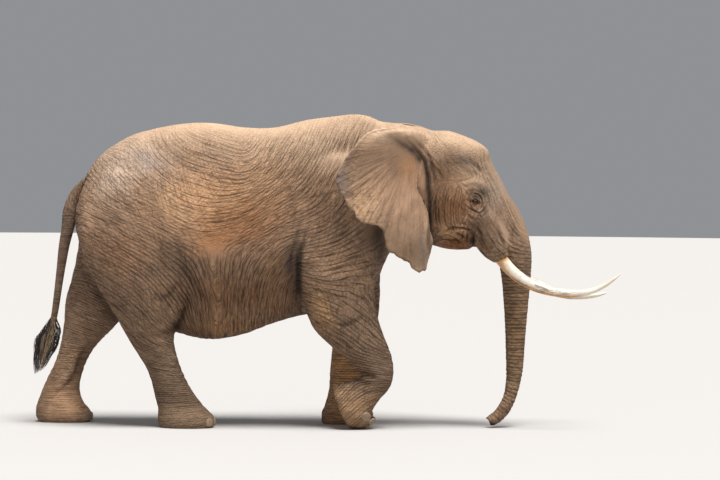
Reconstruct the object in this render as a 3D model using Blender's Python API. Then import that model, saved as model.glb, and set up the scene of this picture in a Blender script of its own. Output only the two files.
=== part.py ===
"""Adult female African elephant in mid-stride, modelled life size as a still museum figure.

Frame: +X forwards, +Y to the animal's left, +Z up, metres, origin on the floor under the middle of the figure.
The body is a set of lofts (rings carried along a limb or along the trunk) that are melted into one closed
surface, softened where limbs leave the body, and then parted with thin cuts into the pieces that a person
would name. Ears, tail, tusks, eyes and toenails are made on their own and let into the body.
"""

import bmesh
import bpy
import numpy as np
from mathutils import Matrix, Vector

# ---------------------------------------------------------------- driving dimensions
SHOULDER_HEIGHT = 2.50  # floor to the top of the shoulder
UNIT = SHOULDER_HEIGHT / 2.50  # every size below is in metres on a cow of 2.50 m

GAP = 0.0004  # clearance between neighbouring pieces
MELT = 0.026  # voxel of the melted body
BODY_TRIANGLES = 2450
TORSO_TAPER = 0.32  # how much narrower the barrel is along the spine than at mid height
NECK_TAPER = 0.30

CREASE_ROUNDS = 40  # smoothing passes where limbs meet the body
CREASE_STEP = 0.6  # share of the way to the neighbours' mean in one pass
CREASE_START = 0.4  # hollows shallower than this are left alone
CREASE_GAIN = 6.0
CREASE_REACH = 8  # rings of vertices that a hollow spreads over
CREASE_FADE = 6

TAIL_JOINT = 1.42  # height at which the thick base of the tail ends
EYE = (1.19, 0.285, 1.81)
EYE_RADIUS = 0.021
SHARP_ANGLE = np.radians(50)
NAIL_SIZE = (0.014, 0.030, 0.034)  # half its depth, width and height
NAIL_HEIGHT = 0.045
TRAILING_NAIL_HEIGHT = 0.015  # on the foot that trails
NAIL_SINK = 0.985  # the nail's middle, as a share of the foot's radius
ROOM = 8.0  # side of the block that the cells are cut from

# ---------------------------------------------------------------- materials
SKIN = ("skin", (0.30, 0.22, 0.165), 0.85)
IVORY = ("ivory", (0.80, 0.72, 0.56), 0.40)
EYEBALL = ("eye", (0.045, 0.022, 0.012), 0.10)
NAIL = ("nail", (0.42, 0.34, 0.26), 0.60)
HAIR = ("hair", (0.035, 0.030, 0.026), 0.55)

# ---------------------------------------------------------------- lofts
# Each station of a loft is a ring: x, y, z of its middle, its reach to the fore side and to the back side,
# its half width along Y, and the direction of its fore side, in degrees up from +X in the X-Z plane.
# A ring at 0 lies level, as in a standing leg, and a ring at 90 stands upright, as in the barrel of the body.
TORSO = [
    (-2.015, 0, 1.66, 0.05, 0.05, 0.055, 90),
    (-1.975, 0, 1.65, 0.2, 0.2, 0.195, 90),
    (-1.9, 0, 1.61, 0.43, 0.36, 0.295, 90),
    (-1.78, 0, 1.56, 0.62, 0.46, 0.365, 90),
    (-1.58, 0, 1.52, 0.79, 0.58, 0.425, 90),
    (-1.4, 0, 1.5, 0.865, 0.68, 0.46, 90),
    (-1.14, 0, 1.46, 0.955, 0.735, 0.495, 90),
    (-0.92, 0, 1.44, 0.98, 0.75, 0.515, 90),
    (-0.66, 0, 1.43, 0.96, 0.7, 0.53, 90),
    (-0.42, 0, 1.44, 0.95, 0.62, 0.515, 90),
    (-0.18, 0, 1.47, 0.98, 0.58, 0.485, 90),
    (0.04, 0, 1.51, 0.97, 0.6, 0.44, 90),
    (0.24, 0, 1.57, 0.93, 0.6, 0.39, 90),
    (0.39, 0, 1.66, 0.8, 0.52, 0.325, 90),
    (0.5, 0, 1.76, 0.6, 0.36, 0.245, 90),
    (0.57, 0, 1.84, 0.25, 0.16, 0.105, 90),
]
NECK = [
    (0.05, 0, 1.92, 0.4, 0.4, 0.245, 90),
    (0.25, 0, 1.92, 0.52, 0.5, 0.315, 90),
    (0.45, 0, 1.92, 0.52, 0.53, 0.325, 90),
    (0.65, 0, 1.91, 0.5, 0.47, 0.31, 90),
    (0.85, 0, 1.91, 0.46, 0.43, 0.29, 90),
    (1, 0, 1.88, 0.3, 0.3, 0.22, 90),
]
HEAD = [
    (0.92, 0, 2.372, 0.05, 0.05, 0.045, 0),
    (0.93, 0, 2.345, 0.13, 0.14, 0.135, 0),
    (0.93, 0, 2.29, 0.26, 0.21, 0.215, 0),
    (0.93, 0, 2.22, 0.35, 0.25, 0.255, 0),
    (0.93, 0, 2.12, 0.385, 0.28, 0.28, 0),
    (0.94, 0, 2, 0.44, 0.29, 0.285, 0),
    (0.97, 0, 1.85, 0.49, 0.29, 0.315, 0),
    (1.01, 0, 1.7, 0.54, 0.27, 0.305, 0),
    (1.05, 0, 1.58, 0.545, 0.24, 0.265, 0),
    (1.08, 0, 1.49, 0.49, 0.2, 0.21, 0),
    (1.1, 0, 1.45, 0.3, 0.12, 0.11, 0),
]
JAW = [
    (0.74, 0, 1.66, 0.1, 0.1, 0.145, 90),
    (0.84, 0, 1.62, 0.14, 0.155, 0.21, 90),
    (0.96, 0, 1.56, 0.14, 0.13, 0.185, 90),
    (1.07, 0, 1.52, 0.1, 0.1, 0.13, 90),
    (1.15, 0, 1.485, 0.06, 0.055, 0.075, 90),
    (1.185, 0, 1.475, 0.02, 0.02, 0.025, 90),
]
TRUNK = [
    (1.16, 0, 2.00, 0.10, 0.10, 0.12, 0),
    (1.26, 0, 1.88, 0.17, 0.15, 0.19, 0),
    (1.35, 0, 1.72, 0.19, 0.17, 0.205, 4),
    (1.44, 0, 1.54, 0.17, 0.15, 0.185, 8),
    (1.495, 0, 1.39, 0.145, 0.13, 0.165, 6),
    (1.516, 0, 1.26, 0.124, 0.122, 0.146, 2),
    (1.52, 0, 1.12, 0.110, 0.108, 0.126, 0),
    (1.52, 0, 0.96, 0.097, 0.096, 0.110, 0),
    (1.518, 0, 0.78, 0.084, 0.083, 0.095, 0),
    (1.516, -0.005, 0.61, 0.075, 0.074, 0.084, 0),
    (1.512, -0.01, 0.46, 0.065, 0.065, 0.073, -2),
    (1.50, -0.02, 0.345, 0.057, 0.057, 0.066, -8),
    (1.475, -0.03, 0.24, 0.053, 0.052, 0.060, -18),
    (1.435, -0.04, 0.158, 0.052, 0.050, 0.056, -34),
    (1.385, -0.045, 0.098, 0.050, 0.045, 0.052, -50),
    (1.335, -0.05, 0.062, 0.047, 0.042, 0.049, -60),
    (1.312, -0.05, 0.052, 0.040, 0.036, 0.044, -64),
]
SOCKET = [
    (1.14, 0.17, 1.80, 0.07, 0.07, 0.07, 0),
    (1.20, 0.19, 1.70, 0.13, 0.12, 0.12, 10),
    (1.27, 0.20, 1.57, 0.14, 0.13, 0.12, 20),
    (1.335, 0.195, 1.45, 0.115, 0.11, 0.10, 28),
    (1.375, 0.19, 1.385, 0.085, 0.08, 0.08, 32),
    (1.39, 0.19, 1.355, 0.05, 0.05, 0.05, 32),
]
# The right foreleg is off its weight: the wrist is bent and the toes trail on the ground.
RIGHT_FORELEG = [
    (0.16, -0.21, 2.16, 0.16, 0.16, 0.13, 0),
    (0.14, -0.25, 2, 0.24, 0.25, 0.2, 0),
    (0.12, -0.27, 1.75, 0.28, 0.28, 0.215, 0),
    (0.105, -0.29, 1.5, 0.285, 0.285, 0.205, 0),
    (0.1, -0.305, 1.25, 0.285, 0.29, 0.19, 0),
    (0.105, -0.298, 1.05, 0.285, 0.29, 0.17, 4),
    (0.145, -0.291, 0.9, 0.265, 0.27, 0.17, 16),
    (0.225, -0.285, 0.76, 0.225, 0.215, 0.155, 28),
    (0.32, -0.28, 0.635, 0.18, 0.168, 0.142, 33),
    (0.395, -0.275, 0.53, 0.145, 0.14, 0.135, 28),
    (0.425, -0.271, 0.44, 0.125, 0.125, 0.13, 12),
    (0.4, -0.267, 0.365, 0.12, 0.115, 0.125, -18),
    (0.335, -0.265, 0.3, 0.115, 0.135, 0.13, -38),
    (0.25, -0.262, 0.235, 0.165, 0.175, 0.15, -48),
    (0.205, -0.26, 0.2, 0.235, 0.19, 0.17, -43),
    (0.165, -0.26, 0.182, 0.225, 0.17, 0.175, -54),
    (0.13, -0.26, 0.17, 0.186, 0.165, 0.17, -66),
    (0.115, -0.26, 0.163, 0.15, 0.15, 0.15, -66),
]
LEFT_FORELEG = [
    (0.18, 0.21, 2.16, 0.16, 0.16, 0.13, 0),
    (0.17, 0.25, 2, 0.24, 0.25, 0.2, 0),
    (0.16, 0.27, 1.75, 0.27, 0.28, 0.215, 0),
    (0.16, 0.29, 1.5, 0.27, 0.28, 0.205, 0),
    (0.17, 0.295, 1.25, 0.265, 0.275, 0.19, 0),
    (0.185, 0.292, 1.05, 0.25, 0.255, 0.165, 0),
    (0.205, 0.284, 0.88, 0.215, 0.215, 0.165, 0),
    (0.215, 0.275, 0.7, 0.172, 0.167, 0.15, 0),
    (0.2, 0.266, 0.52, 0.157, 0.158, 0.145, 0),
    (0.185, 0.259, 0.38, 0.152, 0.153, 0.145, 0),
    (0.183, 0.254, 0.28, 0.152, 0.152, 0.15, 0),
    (0.182, 0.25, 0.17, 0.18, 0.178, 0.168, 0),
    (0.18, 0.25, 0.09, 0.205, 0.208, 0.185, 0),
    (0.178, 0.25, 0.03, 0.208, 0.213, 0.19, 0),
    (0.178, 0.25, -0.02, 0.19, 0.195, 0.175, 0),
]
RIGHT_HIND_LEG = [
    (-1.6, -0.225, 2.02, 0.14, 0.16, 0.13, 0),
    (-1.61, -0.265, 1.85, 0.24, 0.26, 0.185, 0),
    (-1.6, -0.29, 1.6, 0.34, 0.37, 0.205, 0),
    (-1.555, -0.3, 1.35, 0.37, 0.355, 0.205, 0),
    (-1.49, -0.299, 1.12, 0.31, 0.315, 0.2, 0),
    (-1.435, -0.286, 0.93, 0.25, 0.255, 0.195, 0),
    (-1.39, -0.275, 0.77, 0.19, 0.205, 0.172, 4),
    (-1.345, -0.265, 0.63, 0.152, 0.158, 0.15, 10),
    (-1.29, -0.256, 0.5, 0.13, 0.13, 0.135, 14),
    (-1.245, -0.248, 0.38, 0.135, 0.132, 0.135, 12),
    (-1.2, -0.239, 0.26, 0.155, 0.15, 0.14, 8),
    (-1.145, -0.235, 0.155, 0.19, 0.178, 0.155, 3),
    (-1.105, -0.235, 0.085, 0.228, 0.222, 0.17, 0),
    (-1.1, -0.235, 0.03, 0.228, 0.222, 0.175, 0),
    (-1.1, -0.235, -0.02, 0.205, 0.205, 0.16, 0),
]
LEFT_HIND_LEG = [
    (-1.6, 0.225, 2.02, 0.14, 0.16, 0.13, 0),
    (-1.63, 0.265, 1.85, 0.24, 0.26, 0.185, 0),
    (-1.66, 0.29, 1.6, 0.33, 0.33, 0.205, 0),
    (-1.69, 0.3, 1.35, 0.335, 0.33, 0.205, 0),
    (-1.765, 0.299, 1.12, 0.29, 0.305, 0.195, -4),
    (-1.855, 0.285, 0.93, 0.245, 0.26, 0.19, -8),
    (-1.935, 0.273, 0.77, 0.2, 0.19, 0.168, -8),
    (-2, 0.262, 0.63, 0.15, 0.148, 0.148, -2),
    (-2.055, 0.253, 0.5, 0.135, 0.135, 0.135, 6),
    (-2.105, 0.243, 0.38, 0.14, 0.145, 0.132, 8),
    (-2.14, 0.235, 0.26, 0.15, 0.155, 0.138, 6),
    (-2.145, 0.23, 0.155, 0.185, 0.185, 0.152, 2),
    (-2.12, 0.23, 0.085, 0.228, 0.222, 0.168, 0),
    (-2.112, 0.23, 0.03, 0.225, 0.222, 0.172, 0),
    (-2.11, 0.23, -0.02, 0.2, 0.2, 0.155, 0),
]
TAIL = [
    (-1.70, 0, 2.12, 0.06, 0.06, 0.09, 30),
    (-1.86, 0, 2.03, 0.085, 0.085, 0.10, 34),
    (-1.975, 0, 1.89, 0.080, 0.080, 0.085, 22),
    (-2.04, 0, 1.74, 0.068, 0.068, 0.072, 12),
    (-2.068, 0, 1.58, 0.054, 0.054, 0.058, 6),
    (-2.10, 0, 1.42, 0.044, 0.044, 0.047, 6),
    (-2.122, 0, 1.26, 0.036, 0.036, 0.039, 5),
    (-2.143, 0, 1.10, 0.031, 0.031, 0.034, 5),
    (-2.165, 0, 0.93, 0.028, 0.028, 0.030, 6),
    (-2.19, 0, 0.78, 0.025, 0.025, 0.027, 8),
]
TUFT = [
    (-2.19, 0, 0.7795, 0.028, 0.028, 0.028, 8),
    (-2.198, 0, 0.74, 0.052, 0.056, 0.040, 10),
    (-2.215, 0, 0.66, 0.076, 0.088, 0.042, 14),
    (-2.235, 0, 0.57, 0.082, 0.080, 0.040, 18),
    (-2.265, 0, 0.49, 0.066, 0.062, 0.036, 24),
    (-2.30, 0, 0.425, 0.040, 0.038, 0.026, 30),
    (-2.33, 0, 0.385, 0.012, 0.012, 0.012, 30),
]
RIGHT_TUSK = [
    (1.32, -0.185, 1.44, 0.046, 0.046, 0.046, 35),
    (1.39, -0.19, 1.355, 0.048, 0.048, 0.048, 40),
    (1.465, -0.205, 1.27, 0.047, 0.047, 0.047, 46),
    (1.56, -0.225, 1.195, 0.045, 0.045, 0.045, 56),
    (1.68, -0.25, 1.135, 0.042, 0.042, 0.042, 68),
    (1.82, -0.272, 1.10, 0.037, 0.037, 0.037, 80),
    (1.96, -0.285, 1.088, 0.031, 0.031, 0.031, 92),
    (2.09, -0.288, 1.105, 0.025, 0.025, 0.025, 104),
    (2.20, -0.283, 1.152, 0.019, 0.019, 0.019, 116),
    (2.29, -0.275, 1.212, 0.012, 0.012, 0.012, 124),
    (2.335, -0.27, 1.248, 0.004, 0.004, 0.004, 126),
]
LEFT_TUSK = [
    (1.32, 0.185, 1.44, 0.046, 0.046, 0.046, 35),
    (1.39, 0.19, 1.355, 0.048, 0.048, 0.048, 40),
    (1.47, 0.205, 1.275, 0.047, 0.047, 0.047, 44),
    (1.58, 0.225, 1.20, 0.045, 0.045, 0.045, 54),
    (1.70, 0.25, 1.135, 0.041, 0.041, 0.041, 62),
    (1.83, 0.27, 1.082, 0.036, 0.036, 0.036, 72),
    (1.96, 0.28, 1.05, 0.030, 0.030, 0.030, 84),
    (2.08, 0.283, 1.043, 0.024, 0.024, 0.024, 94),
    (2.18, 0.278, 1.052, 0.017, 0.017, 0.017, 102),
    (2.245, 0.272, 1.068, 0.010, 0.010, 0.010, 106),
    (2.268, 0.27, 1.075, 0.004, 0.004, 0.004, 106),
]

# The rim of each foot, as a station; where its toenails sit, in degrees round from the toe side; their height.
TOES = {
    "right_fore": ((0.205, -0.26, 0.20, 0.236, 0.19, 0.17, -43), (-48, -17, 17, 48), TRAILING_NAIL_HEIGHT),
    "left_fore": ((0.180, 0.25, 0.0, 0.205, 0.208, 0.187, 0), (-48, -17, 17, 48), NAIL_HEIGHT),
    "right_hind": ((-1.10, -0.235, 0.0, 0.228, 0.222, 0.172, 0), (-32, 0, 32), NAIL_HEIGHT),
    "left_hind": ((-2.112, 0.23, 0.0, 0.226, 0.222, 0.170, 0), (-32, 0, 32), NAIL_HEIGHT),
}

# ---------------------------------------------------------------- ears
# The ear is a sheet between a root, which runs down the side of the head, and a free edge. Both are read from
# top to bottom: x, y, z. The right ear is the mirror image of these points.
EAR_ROOT = [
    (0.885, 0.165, 2.31),
    (0.8, 0.235, 2.22),
    (0.735, 0.25, 2.1),
    (0.74, 0.255, 1.95),
    (0.78, 0.255, 1.8),
    (0.8, 0.245, 1.66),
]
EAR_EDGE = [
    (0.865, 0.255, 2.355),
    (0.76, 0.365, 2.375),
    (0.62, 0.475, 2.392),
    (0.47, 0.565, 2.385),
    (0.32, 0.635, 2.345),
    (0.2, 0.685, 2.21),
    (0.11, 0.71, 2.06),
    (0.085, 0.715, 1.95),
    (0.155, 0.7, 1.8),
    (0.26, 0.665, 1.665),
    (0.345, 0.635, 1.622),
    (0.435, 0.605, 1.6),
    (0.465, 0.59, 1.515),
    (0.48, 0.585, 1.44),
    (0.58, 0.55, 1.365),
    (0.67, 0.515, 1.305),
    (0.735, 0.49, 1.262),
    (0.79, 0.465, 1.3),
    (0.82, 0.425, 1.39),
    (0.838, 0.375, 1.5),
]
EAR_BULGE = 0.055  # how far the sheet bellies out between root and edge
EAR_THICKNESS = 0.022
EAR_COLUMNS = 25  # points from top to bottom
EAR_ROWS = 5  # points from root to edge
LEFT_EAR_LIFT = 0.05  # the left ear is carried a little higher


def smooth_rows(rows, per_span):
    """Catmull-Rom curve through the rows: each column is interpolated with a cubic between two rows."""
    rows = np.array(rows, float)
    padded = np.vstack([2 * rows[0] - rows[1], rows, 2 * rows[-1] - rows[-2]])
    places = np.linspace(0, len(rows) - 1, (len(rows) - 1) * per_span + 1)
    span = np.minimum(places.astype(int), len(rows) - 2)
    t = (places - span)[:, None]
    a, b, c, d = (padded[span + k] for k in range(4))
    return b + 0.5 * t * (c - a + t * (2 * a - 5 * b + 4 * c - d + t * (3 * (b - c) + d - a)))


def closed_mesh(name, rings):
    """Rings of equal length bridged into one closed surface, with a fan on each end ring."""
    shape = bmesh.new()
    loops = [[shape.verts.new(point) for point in ring] for ring in rings]
    around = len(loops[0])
    for low, high in zip(loops[:-1], loops[1:]):
        for k in range(around):
            shape.faces.new((low[k], low[(k + 1) % around], high[(k + 1) % around], high[k]))
    for loop in (loops[0], loops[-1]):
        middle = shape.verts.new(sum((v.co for v in loop), Vector()) / around)
        for k in range(around):
            shape.faces.new((loop[k], loop[(k + 1) % around], middle))
    bmesh.ops.recalc_face_normals(shape, faces=shape.faces)
    mesh = bpy.data.meshes.new(name)
    shape.to_mesh(mesh)
    shape.free()
    return mesh


def loft_rings(stations, around, per_span, taper=0.0):
    """Rings through the stations. taper narrows the fore side of each ring."""
    turn = np.linspace(0, 2 * np.pi, around, endpoint=False)
    ahead, aside = np.cos(turn), np.sin(turn)
    rings = []
    for x, y, z, fore, back, side, tilt in smooth_rows(stations, per_span):
        reach = np.where(ahead > 0, fore, back) * ahead
        width = side * aside * (1 - taper * np.maximum(ahead, 0))
        c, s = np.cos(np.radians(tilt)), np.sin(np.radians(tilt))
        ring = np.stack([x + reach * c, y + width, z + reach * s], axis=1)
        rings.append(ring * UNIT)
    return rings


def loft(name, stations, around=20, per_span=3, taper=0.0):
    return closed_mesh(name, loft_rings(stations, around, per_span, taper))


def mirrored(stations):
    """The same stations on the other side of the midline."""
    return [(row[0], -row[1], *row[2:]) for row in stations]


# ---------------------------------------------------------------- objects and modifiers
def new_object(name, mesh, finish):
    """An object of that mesh with its own Principled material."""
    thing = bpy.data.objects.new(name, mesh)
    bpy.context.scene.collection.objects.link(thing)
    slot, colour, roughness = finish
    material = bpy.data.materials.new(name + "_" + slot)
    material.use_nodes = True
    shader = material.node_tree.nodes["Principled BSDF"]
    shader.inputs["Base Color"].default_value = (*colour, 1)
    shader.inputs["Roughness"].default_value = roughness
    mesh.materials.clear()
    mesh.materials.append(material)
    mesh.shade_smooth()
    mesh.set_sharp_from_angle(angle=SHARP_ANGLE)


def evaluated_copy(thing):
    """The mesh of the object with its modifiers applied."""
    graph = bpy.context.evaluated_depsgraph_get()
    return bpy.data.meshes.new_from_object(thing.evaluated_get(graph))


def discard(thing):
    bpy.data.objects.remove(thing, do_unlink=True)


def helper(mesh):
    thing = bpy.data.objects.new("helper", mesh)
    bpy.context.scene.collection.objects.link(thing)
    thing.hide_render = True
    thing.display_type = "WIRE"
    return thing


def combined(mesh, other, operation):
    """One mesh cut by, kept inside or joined with another, with the exact solver."""
    base, tool = helper(mesh), helper(other)
    boolean = base.modifiers.new("boolean", "BOOLEAN")
    boolean.operation, boolean.object, boolean.solver = operation, tool, "EXACT"
    result = evaluated_copy(base)
    discard(base)
    discard(tool)
    return result


def grown(mesh, by):
    """A copy of the mesh moved outwards along its vertex normals."""
    copy = mesh.copy()
    for vertex, normal in zip(copy.vertices, [v.vector.copy() for v in mesh.vertex_normals]):
        vertex.co += normal * by
    return copy


def melted(meshes, voxel):
    """Overlapping closed shells turned into one closed surface with the Remesh modifier."""
    shape = bmesh.new()
    for mesh in meshes:
        shape.from_mesh(mesh)
    joined = bpy.data.meshes.new("joined")
    shape.to_mesh(joined)
    shape.free()
    thing = helper(joined)
    remesh = thing.modifiers.new("melt", "REMESH")
    remesh.mode, remesh.voxel_size = "VOXEL", voxel
    result = evaluated_copy(thing)
    discard(thing)
    return result


def thinned(mesh, triangles):
    """The mesh triangulated and collapsed to about that many triangles."""
    thing = helper(mesh)
    thing.modifiers.new("triangles", "TRIANGULATE")
    collapse = thing.modifiers.new("collapse", "DECIMATE")
    collapse.ratio = triangles / sum(len(face.vertices) - 2 for face in mesh.polygons)
    result = evaluated_copy(thing)
    discard(thing)
    return result


def soften_creases(mesh, rounds):
    """Rounds the hollows where limbs leave the body: a vertex moves towards its neighbours' mean by how
    concave the surface is around it, so that the rest keeps its shape."""
    count = len(mesh.vertices)
    place, normal = np.empty(count * 3, np.float32), np.empty(count * 3, np.float32)
    edges = np.empty(len(mesh.edges) * 2, np.int32)
    mesh.vertices.foreach_get("co", place)
    mesh.vertex_normals.foreach_get("vector", normal)
    mesh.edges.foreach_get("vertices", edges)
    place, normal, edges = place.reshape(-1, 3).astype(float), normal.reshape(-1, 3), edges.reshape(-1, 2)
    ends = np.concatenate([edges, edges[:, ::-1]])
    degree = np.maximum(np.bincount(ends[:, 0], minlength=count), 1)

    def mean(values):
        columns = values.reshape(count, -1)
        sums = [np.bincount(ends[:, 0], columns[ends[:, 1], k], count) for k in range(columns.shape[1])]
        return (np.stack(sums, axis=1) / degree[:, None]).reshape(values.shape)

    depth = np.einsum("ij,ij->i", mean(place) - place, normal) / MELT
    hollow = np.clip(depth * CREASE_GAIN - CREASE_START, 0, 1)
    for _ in range(CREASE_REACH):
        hollow = np.maximum(hollow, mean(hollow))
    for _ in range(CREASE_FADE):
        hollow = mean(hollow)
    hollow = np.clip(hollow * 2, 0, 1)[:, None]
    for _ in range(rounds):
        place += hollow * CREASE_STEP * (mean(place) - place)
    mesh.vertices.foreach_set("co", place.astype(np.float32).ravel())
    mesh.update()


def stand_on_floor(mesh):
    """Presses the soles flat: nothing reaches below the floor."""
    for vertex in mesh.vertices:
        vertex.co.z = max(vertex.co.z, 0.0)


# ---------------------------------------------------------------- cells that part the body
def below(x_a, z_a, x_b, z_b):
    """A half space seen from the side: what lies under the line from a to b, with a behind b."""
    slope = Vector((x_b - x_a, 0, z_b - z_a))
    return Vector((x_a, 0, z_a)) * UNIT, Vector((-slope.z, 0, slope.x)).normalized()


def above(x_a, z_a, x_b, z_b):
    point, normal = below(x_a, z_a, x_b, z_b)
    return point, -normal


def behind(x_a, z_a, x_b, z_b):
    """What lies behind the line from a up to b."""
    slope = Vector((x_b - x_a, 0, z_b - z_a))
    return Vector((x_a, 0, z_a)) * UNIT, Vector((slope.z, 0, -slope.x)).normalized()


def ahead_of(x_a, z_a, x_b, z_b):
    point, normal = behind(x_a, z_a, x_b, z_b)
    return point, -normal


def beyond(side, y):
    """What lies further out than y, on the left for side +1 and on the right for side -1."""
    return Vector((0, side * y, 0)) * UNIT, Vector((0, -side, 0))


def cell(planes, grow):
    """The convex room inside all the half spaces, moved outwards by grow."""
    shape = bmesh.new()
    bmesh.ops.create_cube(shape, size=ROOM * UNIT)
    for point, normal in planes:
        faces = shape.verts[:] + shape.edges[:] + shape.faces[:]
        cut = bmesh.ops.bisect_plane(
            shape, geom=faces, plane_co=point + normal * grow, plane_no=normal, clear_outer=True
        )
        edges = [e for e in cut["geom_cut"] if isinstance(e, bmesh.types.BMEdge)]
        bmesh.ops.edgeloop_fill(shape, edges=edges)
    bmesh.ops.recalc_face_normals(shape, faces=shape.faces)
    mesh = bpy.data.meshes.new("cell")
    shape.to_mesh(mesh)
    shape.free()
    return mesh


def part_off(mesh, *planes):
    """(the piece inside the cell, what is left), with a gap between them."""
    piece = combined(mesh.copy(), cell(planes, -GAP / 2), "INTERSECT")
    rest = combined(mesh, cell(planes, GAP / 2), "DIFFERENCE")
    return piece, rest


# ---------------------------------------------------------------- ears, eyes and toenails
def ear_mesh(side, lift):
    """A grid of points between root and edge, bellied outwards and given its thickness with Solidify."""
    root, edge = smooth_rows(EAR_ROOT, 8), smooth_rows(EAR_EDGE, 3)
    columns = np.linspace(0, 1, EAR_COLUMNS)

    def spaced(line):
        steps = np.r_[0, np.cumsum(np.linalg.norm(np.diff(line, axis=0), axis=1))]
        return np.stack([np.interp(columns * steps[-1], steps, line[:, k]) for k in range(3)], axis=1)

    inner, outer = spaced(root), spaced(edge)
    shape = bmesh.new()
    rows = []
    for out in np.linspace(0, 1, EAR_ROWS):
        row = inner + (outer - inner) * out
        row[:, 1] += EAR_BULGE * np.sin(np.pi * out) * np.sin(np.pi * columns) ** 0.5
        row[:, 2] += lift * out * (1 - columns)
        row[:, 1] *= side
        rows.append([shape.verts.new(point) for point in row * UNIT])
    for near, far in zip(rows[:-1], rows[1:]):
        for k in range(len(columns) - 1):
            shape.faces.new((near[k], near[k + 1], far[k + 1], far[k]))
    mesh = bpy.data.meshes.new("ear")
    shape.to_mesh(mesh)
    shape.free()
    sheet = helper(mesh)
    solidify = sheet.modifiers.new("thickness", "SOLIDIFY")
    solidify.thickness, solidify.offset = EAR_THICKNESS * UNIT, 0
    sheet.modifiers.new("triangles", "TRIANGULATE")
    result = evaluated_copy(sheet)
    discard(sheet)
    shape = bmesh.new()
    shape.from_mesh(result)
    bmesh.ops.recalc_face_normals(shape, faces=shape.faces)
    shape.to_mesh(result)
    shape.free()
    return result


def ball(middle, size, turn=Matrix(), across=10):
    """An ellipsoid: size holds its half lengths along its own three axes, which turn carries into place."""
    shape = bmesh.new()
    bmesh.ops.create_uvsphere(shape, u_segments=across, v_segments=across // 2, radius=1)
    place = Matrix.Translation(Vector(middle) * UNIT) @ turn @ Matrix.Diagonal((*(s * UNIT for s in size), 1))
    bmesh.ops.transform(shape, matrix=place, verts=shape.verts)
    mesh = bpy.data.meshes.new("ball")
    shape.to_mesh(mesh)
    shape.free()
    return mesh


def toenail(foot, around, height):
    """A flat ellipsoid let into the rim of a foot, around degrees out from the toe side."""
    x, y, z, fore, _, side, tilt = foot
    angle = np.radians(around)
    tip = np.array([fore * np.cos(angle), side * np.sin(angle), height])
    facing = np.arctan2(np.sin(angle) / side, np.cos(angle) / fore)
    lean = Matrix.Rotation(np.radians(-tilt), 4, "Y")
    middle = Matrix.Translation((x, y, z)) @ lean @ Vector(tip * NAIL_SINK)
    return ball(middle, NAIL_SIZE, lean @ Matrix.Rotation(facing, 4, "Z"), across=8)


# ---------------------------------------------------------------- the figure
def the_body():
    """The melted body: barrel, neck, head, jaw, trunk, tusk sockets and the four legs in one surface."""
    shells = [
        loft("torso", TORSO, 32, taper=TORSO_TAPER),
        loft("neck", NECK, 24, taper=NECK_TAPER),
        loft("head", HEAD, 28),
        loft("jaw", JAW),
        loft("trunk", TRUNK),
        loft("socket_left", SOCKET),
        loft("socket_right", mirrored(SOCKET)),
        loft("foreleg_right", RIGHT_FORELEG, 24),
        loft("foreleg_left", LEFT_FORELEG, 24),
        loft("hind_leg_right", RIGHT_HIND_LEG, 24),
        loft("hind_leg_left", LEFT_HIND_LEG, 24),
    ]
    body = melted(shells, MELT * UNIT)
    soften_creases(body, CREASE_ROUNDS)
    body = thinned(body, BODY_TRIANGLES)
    stand_on_floor(body)
    return body


def the_insets():
    """Everything made on its own and let into the body, by name."""
    insets = {
        "ear_right": (ear_mesh(-1, 0.0), SKIN),
        "ear_left": (ear_mesh(1, LEFT_EAR_LIFT), SKIN),
        "tusk_right": (loft("tusk", RIGHT_TUSK, 12, 1), IVORY),
        "tusk_left": (loft("tusk", LEFT_TUSK, 12, 1), IVORY),
        "eye_right": (ball((EYE[0], -EYE[1], EYE[2]), (EYE_RADIUS,) * 3), EYEBALL),
        "eye_left": (ball(EYE, (EYE_RADIUS,) * 3), EYEBALL),
        "tail": (loft("tail", TAIL, 12, 1), SKIN),
    }
    for foot, (station, turns, height) in TOES.items():
        for number, around in enumerate(turns, 1):
            insets[f"toenail_{foot}_{number}"] = (toenail(station, around, height), NAIL)
    return insets


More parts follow.
